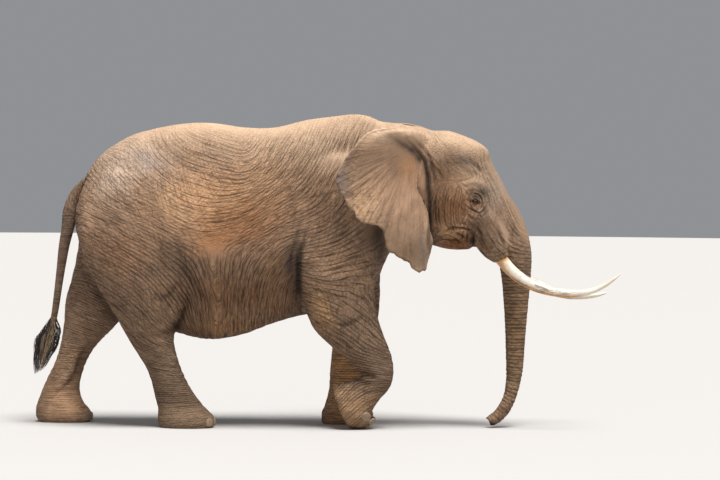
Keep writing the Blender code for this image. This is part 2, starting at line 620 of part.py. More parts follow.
def the_cells():
    """Where the body is parted, by the name of the piece inside. What is left at the end is the torso."""
    return {
        "trunk_tip": [ahead_of(1.15, 0, 1.15, 1), below(1.2, 0.33, 1.8, 0.37)],
        "trunk_lower": [ahead_of(1.15, 0, 1.15, 1), below(1.2, 0.66, 1.8, 0.66)],
        "trunk_middle": [ahead_of(1.15, 0, 1.15, 1), below(1.2, 0.98, 1.8, 0.98)],
        "trunk_upper": [ahead_of(1.15, 0, 1.15, 1), below(1.2, 1.30, 1.8, 1.30)],
        "lower_jaw": [ahead_of(0.93, 0, 0.93, 1), behind(1.24, 1.2, 1.24, 1.8), below(0.9, 1.545, 1.3, 1.485)],
        "head": [ahead_of(0.74, 1.2, 0.80, 2.6)],
        "neck": [ahead_of(0.50, 1.0, 0.44, 2.6), above(0, 1.2, 1, 1.2)],
        "right_forefoot": [beyond(-1, 0.05), ahead_of(-0.3, 0, -0.3, 1), below(-0.3, 0.40, 0.8, 0.40)],
        "right_foreleg_lower": [beyond(-1, 0.05), ahead_of(-0.35, 0, -0.35, 1), below(-0.4, 0.76, 0.6, 0.98)],
        "right_foreleg_upper": [beyond(-1, 0.20), ahead_of(-0.35, 0, -0.35, 1), below(-0.4, 1.30, 0.6, 1.34)],
        "left_forefoot": [beyond(1, 0.05), ahead_of(-0.3, 0, -0.3, 1), below(-0.3, 0.25, 0.8, 0.25)],
        "left_foreleg_lower": [beyond(1, 0.05), ahead_of(-0.35, 0, -0.35, 1), below(-0.4, 0.84, 0.6, 0.84)],
        "left_foreleg_upper": [beyond(1, 0.20), ahead_of(-0.35, 0, -0.35, 1), below(-0.4, 1.30, 0.6, 1.34)],
        "right_hind_foot": [beyond(-1, 0.05), behind(-0.6, 0, -0.6, 1), below(-1.6, 0.25, -0.6, 0.20)],
        "right_hind_leg_lower": [beyond(-1, 0.05), behind(-0.96, 0, -0.96, 1), below(-2.0, 0.66, -1.0, 0.80)],
        "right_hind_leg_upper": [beyond(-1, 0.19), behind(-1.05, 0, -1.05, 1), below(-2.2, 1.30, -1.0, 1.16)],
        "left_hind_foot": [beyond(1, 0.05), behind(-0.6, 0, -0.6, 1), below(-2.6, 0.25, -1.6, 0.25)],
        "left_hind_leg_lower": [beyond(1, 0.05), behind(-0.6, 0, -0.6, 1), below(-2.4, 0.78, -1.6, 0.72)],
        "left_hind_leg_upper": [beyond(1, 0.19), behind(-1.25, 0, -1.25, 1), below(-2.2, 1.30, -1.0, 1.16)],
    }


def build():
    for thing in list(bpy.data.objects):
        bpy.data.objects.remove(thing, do_unlink=True)
    body = the_body()
    insets = the_insets()
    for mesh, _ in insets.values():
        body = combined(body, grown(mesh, GAP), "DIFFERENCE")
    tail = insets.pop("tail")[0]
    for name, (mesh, finish) in insets.items():
        new_object(name, mesh, finish)

    for name, planes in the_cells().items():
        piece, body = part_off(body, *planes)
        new_object(name, piece, SKIN)
    new_object("torso", body, SKIN)

    base, lower = part_off(tail, above(-3, TAIL_JOINT, 3, TAIL_JOINT))
    new_object("tail_base", base, SKIN)
    new_object("tail_lower", lower, SKIN)
    new_object("tail_tuft", loft("tail_tuft", TUFT, 12, 1), HAIR)


build()
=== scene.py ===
"""Looks of the life-size African elephant: one wrinkled hide over every solid of flesh, with the eyes, tusks,
toenails, lashes and tail hair let into it, and a plain studio round it.

Frame: +X forwards, +Y to the animal's left, +Z up, metres, origin on the floor under the figure's middle.
"""

import bmesh
import bpy
import numpy as np
from bpy.props import FloatProperty, FloatVectorProperty, IntProperty, PointerProperty
from mathutils import Matrix, Vector


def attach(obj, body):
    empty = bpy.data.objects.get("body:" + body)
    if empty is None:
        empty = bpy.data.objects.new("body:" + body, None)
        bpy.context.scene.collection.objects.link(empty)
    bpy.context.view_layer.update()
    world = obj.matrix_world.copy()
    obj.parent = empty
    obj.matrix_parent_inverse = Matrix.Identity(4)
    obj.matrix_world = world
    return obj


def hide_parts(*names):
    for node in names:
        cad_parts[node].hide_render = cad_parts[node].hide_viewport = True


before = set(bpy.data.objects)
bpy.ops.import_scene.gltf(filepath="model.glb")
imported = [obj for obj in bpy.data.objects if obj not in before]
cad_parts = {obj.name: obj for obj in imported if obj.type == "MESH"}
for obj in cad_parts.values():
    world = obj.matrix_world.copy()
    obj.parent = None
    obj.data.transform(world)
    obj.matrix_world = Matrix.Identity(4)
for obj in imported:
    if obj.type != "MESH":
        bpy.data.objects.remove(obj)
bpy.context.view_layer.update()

bl_info = {
    "name": "African elephant",
    "version": (1, 0, 0),
    "blender": (4, 5, 0),
    "location": "View3D > Sidebar > Elephant",
    "description": "Dresses the packed elephant with its hide, eyes, tusks, toenails and tail hair",
    "category": "Object",
}

SIDES = ((-1, "right"), (1, "left"))

# ---------------------------------------------------------------- lofts, as in the solids
def midline(tilt, rows):
    """Stations on the middle plane at one tilt, from rows of x, z, fore reach, back reach and half width."""
    return [(x, 0, z, fore, back, side, tilt) for x, z, fore, back, side in rows]


def rounded(rows):
    """Stations of round rings, from rows of x, y, z, radius and tilt."""
    return [(x, y, z, radius, radius, radius, tilt) for x, y, z, radius, tilt in rows]


def mirrored(rows):
    """The same rows on the other side of the middle plane."""
    return [(row[0], -row[1], *row[2:]) for row in rows]


# A station is a ring: x, y, z of its middle, its reach to the fore side and to the back side, its half width
# along Y, and the direction of its fore side in degrees up from +X. At 0 a ring lies level, at 90 upright.
TORSO = midline(90, [
    (-2.015, 1.66, 0.05, 0.05, 0.055), (-1.975, 1.65, 0.2, 0.2, 0.195), (-1.9, 1.61, 0.43, 0.36, 0.295),
    (-1.78, 1.56, 0.62, 0.46, 0.365), (-1.58, 1.52, 0.79, 0.58, 0.425), (-1.4, 1.5, 0.865, 0.68, 0.46),
    (-1.14, 1.46, 0.955, 0.735, 0.495), (-0.92, 1.44, 0.98, 0.75, 0.515), (-0.66, 1.43, 0.96, 0.7, 0.53),
    (-0.42, 1.44, 0.95, 0.62, 0.515), (-0.18, 1.47, 0.98, 0.58, 0.485), (0.04, 1.51, 0.97, 0.6, 0.44),
    (0.24, 1.57, 0.93, 0.6, 0.39), (0.39, 1.66, 0.8, 0.52, 0.325), (0.5, 1.76, 0.6, 0.36, 0.245),
    (0.57, 1.84, 0.25, 0.16, 0.105),
])
NECK = midline(90, [
    (0.05, 1.92, 0.4, 0.4, 0.245), (0.25, 1.92, 0.52, 0.5, 0.315), (0.45, 1.92, 0.52, 0.53, 0.325),
    (0.65, 1.91, 0.5, 0.47, 0.31), (0.85, 1.91, 0.46, 0.43, 0.29), (1, 1.88, 0.3, 0.3, 0.22),
])
HEAD = midline(0, [
    (0.92, 2.372, 0.05, 0.05, 0.045), (0.93, 2.345, 0.13, 0.14, 0.135), (0.93, 2.29, 0.26, 0.21, 0.215),
    (0.93, 2.22, 0.35, 0.25, 0.255), (0.93, 2.12, 0.385, 0.28, 0.28), (0.94, 2, 0.44, 0.29, 0.285),
    (0.97, 1.85, 0.49, 0.29, 0.315), (1.01, 1.7, 0.54, 0.27, 0.305), (1.05, 1.58, 0.545, 0.24, 0.265),
    (1.08, 1.49, 0.49, 0.2, 0.21), (1.1, 1.45, 0.3, 0.12, 0.11),
])
JAW = midline(90, [
    (0.74, 1.66, 0.1, 0.1, 0.145), (0.84, 1.62, 0.14, 0.155, 0.21), (0.96, 1.56, 0.14, 0.13, 0.185),
    (1.07, 1.52, 0.1, 0.1, 0.13), (1.15, 1.485, 0.06, 0.055, 0.075), (1.185, 1.475, 0.02, 0.02, 0.025),
])
TRUNK = [
    (1.16, 0, 2.0, 0.1, 0.1, 0.12, 0), (1.26, 0, 1.88, 0.17, 0.15, 0.19, 0),
    (1.35, 0, 1.72, 0.19, 0.17, 0.205, 4), (1.44, 0, 1.54, 0.17, 0.15, 0.185, 8),
    (1.495, 0, 1.39, 0.145, 0.13, 0.165, 6), (1.516, 0, 1.26, 0.124, 0.122, 0.146, 2),
    (1.52, 0, 1.12, 0.11, 0.108, 0.126, 0), (1.52, 0, 0.96, 0.097, 0.096, 0.11, 0),
    (1.518, 0, 0.78, 0.084, 0.083, 0.095, 0), (1.516, -0.005, 0.61, 0.075, 0.074, 0.084, 0),
    (1.512, -0.01, 0.46, 0.065, 0.065, 0.073, -2), (1.5, -0.02, 0.345, 0.057, 0.057, 0.066, -8),
    (1.475, -0.03, 0.24, 0.053, 0.052, 0.06, -18), (1.435, -0.04, 0.158, 0.052, 0.05, 0.056, -34),
    (1.385, -0.045, 0.098, 0.05, 0.045, 0.052, -50), (1.335, -0.05, 0.062, 0.047, 0.042, 0.049, -60),
    (1.312, -0.05, 0.052, 0.04, 0.036, 0.044, -64),
]
SOCKET = [
    (1.14, 0.17, 1.8, 0.07, 0.07, 0.07, 0), (1.2, 0.19, 1.7, 0.13, 0.12, 0.12, 10),
    (1.27, 0.2, 1.57, 0.14, 0.13, 0.12, 20), (1.335, 0.195, 1.45, 0.115, 0.11, 0.1, 28),
    (1.375, 0.19, 1.385, 0.085, 0.08, 0.08, 32), (1.39, 0.19, 1.355, 0.05, 0.05, 0.05, 32),
]
RIGHT_FORELEG = [
    (0.16, -0.21, 2.16, 0.16, 0.16, 0.13, 0), (0.14, -0.25, 2, 0.24, 0.25, 0.2, 0),
    (0.12, -0.27, 1.75, 0.28, 0.28, 0.215, 0), (0.105, -0.29, 1.5, 0.285, 0.285, 0.205, 0),
    (0.1, -0.305, 1.25, 0.285, 0.29, 0.19, 0), (0.105, -0.298, 1.05, 0.285, 0.29, 0.17, 4),
    (0.145, -0.291, 0.9, 0.265, 0.27, 0.17, 16), (0.225, -0.285, 0.76, 0.225, 0.215, 0.155, 28),
    (0.32, -0.28, 0.635, 0.18, 0.168, 0.142, 33), (0.395, -0.275, 0.53, 0.145, 0.14, 0.135, 28),
    (0.425, -0.271, 0.44, 0.125, 0.125, 0.13, 12), (0.4, -0.267, 0.365, 0.12, 0.115, 0.125, -18),
    (0.335, -0.265, 0.3, 0.115, 0.135, 0.13, -38), (0.25, -0.262, 0.235, 0.165, 0.175, 0.15, -48),
    (0.205, -0.26, 0.2, 0.235, 0.19, 0.17, -43), (0.165, -0.26, 0.182, 0.225, 0.17, 0.175, -54),
    (0.13, -0.26, 0.17, 0.186, 0.165, 0.17, -66), (0.115, -0.26, 0.163, 0.15, 0.15, 0.15, -66),
]
LEFT_FORELEG = [
    (0.18, 0.21, 2.16, 0.16, 0.16, 0.13, 0), (0.17, 0.25, 2, 0.24, 0.25, 0.2, 0),
    (0.16, 0.27, 1.75, 0.27, 0.28, 0.215, 0), (0.16, 0.29, 1.5, 0.27, 0.28, 0.205, 0),
    (0.17, 0.295, 1.25, 0.265, 0.275, 0.19, 0), (0.185, 0.292, 1.05, 0.25, 0.255, 0.165, 0),
    (0.205, 0.284, 0.88, 0.215, 0.215, 0.165, 0), (0.215, 0.275, 0.7, 0.172, 0.167, 0.15, 0),
    (0.2, 0.266, 0.52, 0.157, 0.158, 0.145, 0), (0.185, 0.259, 0.38, 0.152, 0.153, 0.145, 0),
    (0.183, 0.254, 0.28, 0.152, 0.152, 0.15, 0), (0.182, 0.25, 0.17, 0.18, 0.178, 0.168, 0),
    (0.18, 0.25, 0.09, 0.205, 0.208, 0.185, 0), (0.178, 0.25, 0.03, 0.208, 0.213, 0.19, 0),
    (0.178, 0.25, -0.02, 0.19, 0.195, 0.175, 0),
]
RIGHT_HIND_LEG = [
    (-1.6, -0.225, 2.02, 0.14, 0.16, 0.13, 0), (-1.61, -0.265, 1.85, 0.24, 0.26, 0.185, 0),
    (-1.6, -0.29, 1.6, 0.34, 0.37, 0.205, 0), (-1.555, -0.3, 1.35, 0.37, 0.355, 0.205, 0),
    (-1.49, -0.299, 1.12, 0.31, 0.315, 0.2, 0), (-1.435, -0.286, 0.93, 0.25, 0.255, 0.195, 0),
    (-1.39, -0.275, 0.77, 0.19, 0.205, 0.172, 4), (-1.345, -0.265, 0.63, 0.152, 0.158, 0.15, 10),
    (-1.29, -0.256, 0.5, 0.13, 0.13, 0.135, 14), (-1.245, -0.248, 0.38, 0.135, 0.132, 0.135, 12),
    (-1.2, -0.239, 0.26, 0.155, 0.15, 0.14, 8), (-1.145, -0.235, 0.155, 0.19, 0.178, 0.155, 3),
    (-1.105, -0.235, 0.085, 0.228, 0.222, 0.17, 0), (-1.1, -0.235, 0.03, 0.228, 0.222, 0.175, 0),
    (-1.1, -0.235, -0.02, 0.205, 0.205, 0.16, 0),
]
LEFT_HIND_LEG = [
    (-1.6, 0.225, 2.02, 0.14, 0.16, 0.13, 0), (-1.63, 0.265, 1.85, 0.24, 0.26, 0.185, 0),
    (-1.66, 0.29, 1.6, 0.33, 0.33, 0.205, 0), (-1.69, 0.3, 1.35, 0.335, 0.33, 0.205, 0),
    (-1.765, 0.299, 1.12, 0.29, 0.305, 0.195, -4), (-1.855, 0.285, 0.93, 0.245, 0.26, 0.19, -8),
    (-1.935, 0.273, 0.77, 0.2, 0.19, 0.168, -8), (-2, 0.262, 0.63, 0.15, 0.148, 0.148, -2),
    (-2.055, 0.253, 0.5, 0.135, 0.135, 0.135, 6), (-2.105, 0.243, 0.38, 0.14, 0.145, 0.132, 8),
    (-2.14, 0.235, 0.26, 0.15, 0.155, 0.138, 6), (-2.145, 0.23, 0.155, 0.185, 0.185, 0.152, 2),
    (-2.12, 0.23, 0.085, 0.228, 0.222, 0.168, 0), (-2.112, 0.23, 0.03, 0.225, 0.222, 0.172, 0),
    (-2.11, 0.23, -0.02, 0.2, 0.2, 0.155, 0),
]
TAIL = [
    (-1.7, 0, 2.12, 0.06, 0.06, 0.09, 30), (-1.86, 0, 2.03, 0.085, 0.085, 0.1, 34),
    (-1.975, 0, 1.89, 0.08, 0.08, 0.085, 22), (-2.04, 0, 1.74, 0.068, 0.068, 0.072, 12),
    (-2.068, 0, 1.58, 0.054, 0.054, 0.058, 6), (-2.1, 0, 1.42, 0.044, 0.044, 0.047, 6),
    (-2.122, 0, 1.26, 0.036, 0.036, 0.039, 5), (-2.143, 0, 1.1, 0.031, 0.031, 0.034, 5),
    (-2.165, 0, 0.93, 0.028, 0.028, 0.03, 6), (-2.19, 0, 0.78, 0.025, 0.025, 0.027, 8),
]
TUSKS = {
    -1: rounded([
        (1.32, -0.185, 1.44, 0.046, 35), (1.39, -0.19, 1.355, 0.048, 40), (1.465, -0.205, 1.27, 0.047, 46),
        (1.56, -0.225, 1.195, 0.045, 56), (1.68, -0.25, 1.135, 0.042, 68), (1.82, -0.272, 1.1, 0.037, 80),
        (1.96, -0.285, 1.088, 0.031, 92), (2.09, -0.288, 1.105, 0.025, 104),
        (2.2, -0.283, 1.152, 0.019, 116), (2.29, -0.275, 1.212, 0.012, 124),
        (2.335, -0.27, 1.248, 0.004, 126),
    ]),
    1: rounded([
        (1.32, 0.185, 1.44, 0.046, 35), (1.39, 0.19, 1.355, 0.048, 40), (1.47, 0.205, 1.275, 0.047, 44),
        (1.58, 0.225, 1.2, 0.045, 54), (1.7, 0.25, 1.135, 0.041, 62), (1.83, 0.27, 1.082, 0.036, 72),
        (1.96, 0.28, 1.05, 0.03, 84), (2.08, 0.283, 1.043, 0.024, 94), (2.18, 0.278, 1.052, 0.017, 102),
        (2.245, 0.272, 1.068, 0.01, 106), (2.268, 0.27, 1.075, 0.004, 106),
    ]),
}
TUFT = [
    (-2.19, 0, 0.7795, 0.04, 0.04, 0.028, 8), (-2.205, 0, 0.755, 0.092, 0.088, 0.04, 8),
    (-2.226, 0, 0.69, 0.104, 0.104, 0.042, 10), (-2.245, 0, 0.594, 0.098, 0.096, 0.04, 14),
    (-2.269, 0, 0.514, 0.08, 0.078, 0.036, 22), (-2.287, 0, 0.44, 0.066, 0.056, 0.028, 32),
    (-2.305, 0, 0.405, 0.05, 0.034, 0.02, 34),
]
# The rim of each foot as a station, where its toenails sit, in degrees round from the toe side, their height.
TOES = {
    "right_fore": ((0.205, -0.26, 0.20, 0.236, 0.19, 0.17, -43), (-48, -17, 17, 48), 0.015),
    "left_fore": ((0.180, 0.25, 0.0, 0.205, 0.208, 0.187, 0), (-48, -17, 17, 48), 0.045),
    "right_hind": ((-1.10, -0.235, 0.0, 0.228, 0.222, 0.172, 0), (-32, 0, 32), 0.045),
    "left_hind": ((-2.112, 0.23, 0.0, 0.226, 0.222, 0.170, 0), (-32, 0, 32), 0.045),
}
# The ear is a sheet between a root on the side of the head and a free edge, both read from top to bottom.
EAR_ROOT = [
    (0.8, 0.06, 2.28), (0.775, 0.17, 2.21), (0.735, 0.25, 2.1), (0.74, 0.255, 1.95), (0.78, 0.255, 1.8),
    (0.8, 0.245, 1.66),
]
EAR_EDGE = [
    (0.8, 0.09, 2.34), (0.73, 0.28, 2.365), (0.61, 0.45, 2.39), (0.47, 0.565, 2.385), (0.32, 0.635, 2.345),
    (0.2, 0.685, 2.21), (0.11, 0.71, 2.06), (0.085, 0.715, 1.95), (0.155, 0.7, 1.8), (0.26, 0.665, 1.665),
    (0.345, 0.635, 1.622), (0.435, 0.605, 1.6), (0.465, 0.59, 1.515), (0.48, 0.585, 1.44),
    (0.58, 0.55, 1.365), (0.65, 0.52, 1.318), (0.705, 0.5, 1.262), (0.78, 0.475, 1.262),
    (0.82, 0.425, 1.39), (0.838, 0.375, 1.5),
]
FLESH = [
    "torso", "neck", "head", "lower_jaw", "trunk_upper", "trunk_middle", "trunk_lower", "trunk_tip",
    "ear_left", "ear_right", "tail_base", "tail_lower",
    *[f"{side}_{leg}" for side in ("left", "right") for leg in (
        "foreleg_upper", "foreleg_lower", "forefoot", "hind_leg_upper", "hind_leg_lower", "hind_foot")],
]
# Each loft of the body: its stations, points round it, rings to a span, how much narrower its fore side is.
BODY_LOFTS = [
    (TORSO, 72, 6, 0.32), (NECK, 64, 6, 0.30), (HEAD, 96, 8, 0), (JAW, 64, 8, 0), (TRUNK, 72, 8, 0),
    (SOCKET, 48, 8, 0), (mirrored(SOCKET), 48, 8, 0), (RIGHT_FORELEG, 64, 6, 0), (LEFT_FORELEG, 64, 6, 0),
    (RIGHT_HIND_LEG, 64, 6, 0), (LEFT_HIND_LEG, 64, 6, 0),
]


# ---------------------------------------------------------------- arrays of points
def smooth_rows(rows, per_span):
    """Catmull-Rom curve through the rows: each column is interpolated with a cubic between two rows."""
    rows = np.array(rows, float)
    padded = np.vstack([2 * rows[0] - rows[1], rows, 2 * rows[-1] - rows[-2]])
    places = np.linspace(0, len(rows) - 1, (len(rows) - 1) * per_span + 1)
    span = np.minimum(places.astype(int), len(rows) - 2)
    t = (places - span)[:, None]
    a, b, c, d = (padded[span + k] for k in range(4))
    return b + 0.5 * t * (c - a + t * (2 * a - 5 * b + 4 * c - d + t * (3 * (b - c) + d - a)))


def blend(low, high, value):
    """0 below low, 1 above high, and a smooth cubic step between them."""
    t = np.clip((value - low) / (high - low), 0, 1)
    return t * t * (3 - 2 * t)


def hump(value, middle, width):
    """A bell curve: 1 at the middle value, fading within the width."""
    return np.exp(-(((value - middle) / width) ** 2))


def turned(points, degrees):
    """Points turned in the X-Z plane so that a line at that angle comes to lie along X."""
    x, y, z = points.T
    c, s = np.cos(np.radians(degrees)), np.sin(np.radians(degrees))
    return np.stack([x * c + z * s, y, z * c - x * s], axis=1)


def bell(points, x, z, wide, high, turn=0, power=2):
    """1 at a place in the X-Z plane, falling to 0 over an ellipse turned by some degrees: the exponential of
    minus the distance from it, in half lengths, to some power. A higher power keeps it flat for longer."""
    flat = turned(points - np.array([x, 0, z]), turn)
    return np.exp(-(np.abs(flat[:, 0] / wide) ** power + np.abs(flat[:, 2] / high) ** power))


def flat_distance(points, place):
    """Distance in the X-Z plane to a place given as x and z."""
    return np.hypot(points[:, 0] - place[0], points[:, 2] - place[1])


def on_side(points, side):
    """1 on the left for side 1 or on the right for side -1, 0 on the other, and 1 everywhere for side 0."""
    return np.ones(len(points)) if side == 0 else blend(-0.03, 0.03, points[:, 1] * side)


def loft_rings(stations, around, per_span, taper=0.0):
    """Rings through the stations as one array of rings x around x 3. A point stands at the fore or back reach
    times the cosine, and at the half width times the sine, of its angle; taper narrows the fore side."""
    x, y, z, fore, back, side, tilt = smooth_rows(stations, per_span).T[:, :, None]
    turn = np.linspace(0, 2 * np.pi, around, endpoint=False)[None, :]
    ahead, aside = np.cos(turn), np.sin(turn)
    reach = np.where(ahead > 0, fore, back) * ahead
    width = side * aside * (1 - taper * np.maximum(ahead, 0))
    lean = np.radians(tilt)
    return np.stack([x + reach * np.cos(lean), y + width + 0 * reach, z + reach * np.sin(lean)], axis=2)


def tube_faces(rings, around):
    """Quads between neighbouring rings, wrapped round."""
    row, column = np.meshgrid(np.arange(rings - 1), np.arange(around), indexing="ij")
    here, beside = row * around + column, row * around + (column + 1) % around
    return np.stack([here, beside, beside + around, here + around], axis=2).reshape(-1, 4)


def capped(rings):
    """(points, faces) of a closed tube: its quads, and a fan on each end round a middle point."""
    count, around, _ = rings.shape
    points = np.vstack([rings.reshape(-1, 3), rings[0].mean(0), rings[-1].mean(0)])
    k = np.arange(around)
    after = (k + 1) % around
    first, last = count * around, count * around + 1
    start = np.stack([after, k, np.full(around, first)], axis=1)
    top = (count - 1) * around
    end = np.stack([top + k, top + after, np.full(around, last)], axis=1)
    return points, [tube_faces(count, around), start, end]


def joined(shells):
    """Several (points, faces) as one, with the numbers of the later ones moved up."""
    points, faces, offset = [], [], 0
    for shell_points, shell_faces in shells:
        points.append(shell_points)
        faces += [block + offset for block in shell_faces]
        offset += len(shell_points)
    return np.vstack(points), faces


def mesh_of(name, points, faces):
    """A mesh from an array of points and blocks of faces, each block with one number of corners."""
    sizes = np.concatenate([np.full(len(block), block.shape[1]) for block in faces])
    corners = np.concatenate([block.ravel() for block in faces])
    mesh = bpy.data.meshes.new(name)
    mesh.vertices.add(len(points))
    mesh.vertices.foreach_set("co", np.ascontiguousarray(points, np.float32).ravel())
    mesh.loops.add(len(corners))
    mesh.loops.foreach_set("vertex_index", corners.astype(np.int32))
    mesh.polygons.add(len(sizes))
    mesh.polygons.foreach_set("loop_start", (np.cumsum(sizes) - sizes).astype(np.int32))
    mesh.polygons.foreach_set("loop_total", sizes.astype(np.int32))
    mesh.update(calc_edges=True)
    mesh.validate()
    return mesh


def facing_out(mesh):
    """Turns every face of a closed mesh outwards."""
    shape = bmesh.new()
    shape.from_mesh(mesh)
    bmesh.ops.recalc_face_normals(shape, faces=shape.faces)
    shape.to_mesh(mesh)
    shape.free()
    return mesh


def values_of(items, name, width=1, kind=np.float32):
    """One property of all the elements as an array."""
    found = np.empty(len(items) * width, kind)
    items.foreach_get(name, found)
    return found


def places(mesh):
    return values_of(mesh.vertices, "co", 3).reshape(-1, 3).astype(float)


def normals(mesh):
    return values_of(mesh.vertex_normals, "vector", 3).reshape(-1, 3).astype(float)


def move(mesh, points):
    mesh.vertices.foreach_set("co", points.astype(np.float32).ravel())
    mesh.update()


class Neighbours:
    """Which vertices share an edge, for means over the surface."""

    def __init__(self, mesh):
        edges = values_of(mesh.edges, "vertices", 2, np.int32).reshape(-1, 2)
        self.count = len(mesh.vertices)
        self.start = np.concatenate([edges[:, 0], edges[:, 1]])
        self.end = np.concatenate([edges[:, 1], edges[:, 0]])
        self.degree = np.maximum(np.bincount(self.start, minlength=self.count), 1)

    def mean(self, values):
        """Each vertex's mean of its neighbours' values."""
        columns = values.reshape(self.count, -1)
        sums = [np.bincount(self.start, columns[self.end, k], self.count) for k in range(columns.shape[1])]
        return (np.stack(sums, axis=1) / self.degree[:, None]).reshape(values.shape)

    def spacing(self, points):
        """Each vertex's mean distance to its neighbours."""
        length = np.linalg.norm(points[self.start] - points[self.end], axis=1)
        return np.bincount(self.start, length, self.count) / self.degree


# ---------------------------------------------------------------- noise
def lattice(x, y, z, seed):
    """A repeatable number from -1 to 1 for each whole-numbered point."""
    mixed = x * 374761393 + y * 668265263 + z * 1440662683 + seed * 1274126177
    mixed = (mixed ^ (mixed >> 13)) * 1103515245
    return ((mixed ^ (mixed >> 16)) & 0xFFFFF) / 0x7FFFF - 1


def noise(points, size, seed):
    """Smooth value noise from -1 to 1: eight lattice numbers round a point, blended with cubic steps."""
    scaled = points / size
    cell = np.floor(scaled).astype(np.int64)
    t = scaled - cell
    t = t * t * (3 - 2 * t)
    total = 0
    for dx in (0, 1):
        for dy in (0, 1):
            for dz in (0, 1):
                weight = 1
                for axis, step in enumerate((dx, dy, dz)):
                    weight = weight * (t[:, axis] if step else 1 - t[:, axis])
                total = total + weight * lattice(cell[:, 0] + dx, cell[:, 1] + dy, cell[:, 2] + dz, seed)
    return total


def drift(points, size, seed):
    """Noise vectors in the X-Z plane, each part from -1 to 1."""
    return np.stack([noise(points, size, seed), 0 * points[:, 0], noise(points, size, seed + 1)], axis=1)


# ---------------------------------------------------------------- the hide's closed surface
FINE = 2.35  # how many times finer the mesh is on the head and trunk than on the body
FINE_FROM, FINE_TO = 0.55, 0.95  # where, along X, it becomes that fine
FINE_CENTRE = 1.9  # the height that stays put while the head is drawn larger for melting
HOLLOW_FROM, HOLLOW_TO = 8, 34  # how sharply the surface bends inwards where softening starts and is full
HOLLOW_SPREAD, HOLLOW_BLUR = 9, 8  # rings of vertices that a hollow spreads over, and is then blurred over
SOFT_STEP = 0.6  # share of the way to the neighbours' mean in one pass


def fineness(x):
    return 1 + (FINE - 1) * blend(FINE_FROM, FINE_TO, x)


def drawn_larger(points):
    """Points with the head enlarged, so that one voxel size melts it more finely than the body."""
    x, y, z = points.T
    t = np.clip((x - FINE_FROM) / (FINE_TO - FINE_FROM), 0, 1)
    ramp = (FINE_TO - FINE_FROM) * (t**3 - t**4 / 2)
    along = x + (FINE - 1) * (ramp + np.maximum(x - FINE_TO, 0))
    return np.stack([along, y * fineness(x), (z - FINE_CENTRE) * fineness(x)], axis=1)


def drawn_back(points):
    """The inverse of drawn_larger."""
    line = np.linspace(-3, 3, 6001)
    along = drawn_larger(np.stack([line, 0 * line, 0 * line], axis=1))[:, 0]
    x = np.interp(points[:, 0], along, line)
    return np.stack([x, points[:, 1] / fineness(x), points[:, 2] / fineness(x) + FINE_CENTRE], axis=1)


def with_modifiers(thing):
    """The object's mesh with its modifiers applied; the object is removed."""
    graph = bpy.context.evaluated_depsgraph_get()
    mesh = bpy.data.meshes.new_from_object(thing.evaluated_get(graph))
    bpy.data.objects.remove(thing, do_unlink=True)
    return mesh


def linked(name, data, matrix=None):
    """A new object in the scene, at that place and turn if they are given."""
    thing = bpy.data.objects.new(name, data)
    if matrix is not None:
        thing.matrix_world = matrix
    bpy.context.scene.collection.objects.link(thing)
    return thing


def melted_body(voxel):
    """All the lofts of the body melted into one closed surface with the Remesh modifier."""
    points, faces = joined(
        [capped(loft_rings(stations, around, span, taper)) for stations, around, span, taper in BODY_LOFTS])
    thing = linked("lofts", facing_out(mesh_of("lofts", drawn_larger(points), faces)))
    remesh = thing.modifiers.new("melt", "REMESH")
    remesh.mode, remesh.voxel_size = "VOXEL", voxel
    mesh = with_modifiers(thing)
    move(mesh, drawn_back(places(mesh)))
    return mesh


def soften(mesh, rounds):
    """Rounds the hollows where limbs leave the body: a vertex moves towards its neighbours' mean by how
    concave the surface is around it, so that swellings keep their shape."""
    near = Neighbours(mesh)
    point = places(mesh)
    for _ in range(2):
        point += 0.5 * (near.mean(point) - point)
    move(mesh, point)
    out, step = normals(mesh), near.spacing(point)
    bend = np.einsum("ij,ij->i", near.mean(point) - point, out) * 4 / step**2
    hollow = blend(HOLLOW_FROM, HOLLOW_TO, bend)
    for _ in range(HOLLOW_SPREAD):
        hollow = np.maximum(hollow, 0.97 * near.mean(hollow))
    for _ in range(HOLLOW_BLUR):
        hollow = near.mean(hollow)
    hollow = np.clip(hollow * 2, 0, 1)[:, None]
    for _ in range(rounds):
        point += hollow * SOFT_STEP * (near.mean(point) - point)
    point[:, 2] = np.maximum(point[:, 2], 0)
    move(mesh, point)


# ---------------------------------------------------------------- the ears, and the whole surface
EAR_ROWS, EAR_COLUMNS = 46, 100  # points from root to edge, and from top to bottom
EAR_BASE, EAR_RIM = 0.026, 0.009  # thickness at the root and at the free edge
EAR_BULGE = 0.055  # how far its middle stands out
EAR_SWAYS = (0.012, 0.008)  # how far its long and its short waves swing
EAR_ROLL = 0.030  # how far its upper margin rolls in
EAR_BEAD = 0.004  # how much the free edge is thickened
EAR_NOTCH = 0.032  # the deepest notch in its lower edge, as a share of the way out
LEFT_EAR_LIFT = 0.05  # how much higher the left ear's edge is held
EAR_MELT_STEPS, EAR_MELT_ROUNDS = 6, 60  # rings of vertices and passes that smooth its top into the head
EAR_CORNER = (0.775, 2.285)  # where its top meets the head
EAR_HUB = (0.68, 2.25)  # the ear's folds spread from here
EAR_SPACING = 0.034  # between two folds at EAR_FAN from the hub
EAR_FAN = 0.4
BODY, EAR, TAIL_SKIN = range(3)  # which surface a vertex of the hide came from
TAIL_AROUND, TAIL_SPAN = 28, 14  # points round the tail, and rings to a span


def evenly(line, count):
    """Points along the line at equal steps of its length."""
    steps = np.r_[0, np.cumsum(np.linalg.norm(np.diff(line, axis=0), axis=1))]
    along = np.linspace(0, steps[-1], count)
    return np.stack([np.interp(along, steps, line[:, k]) for k in range(3)], axis=1)


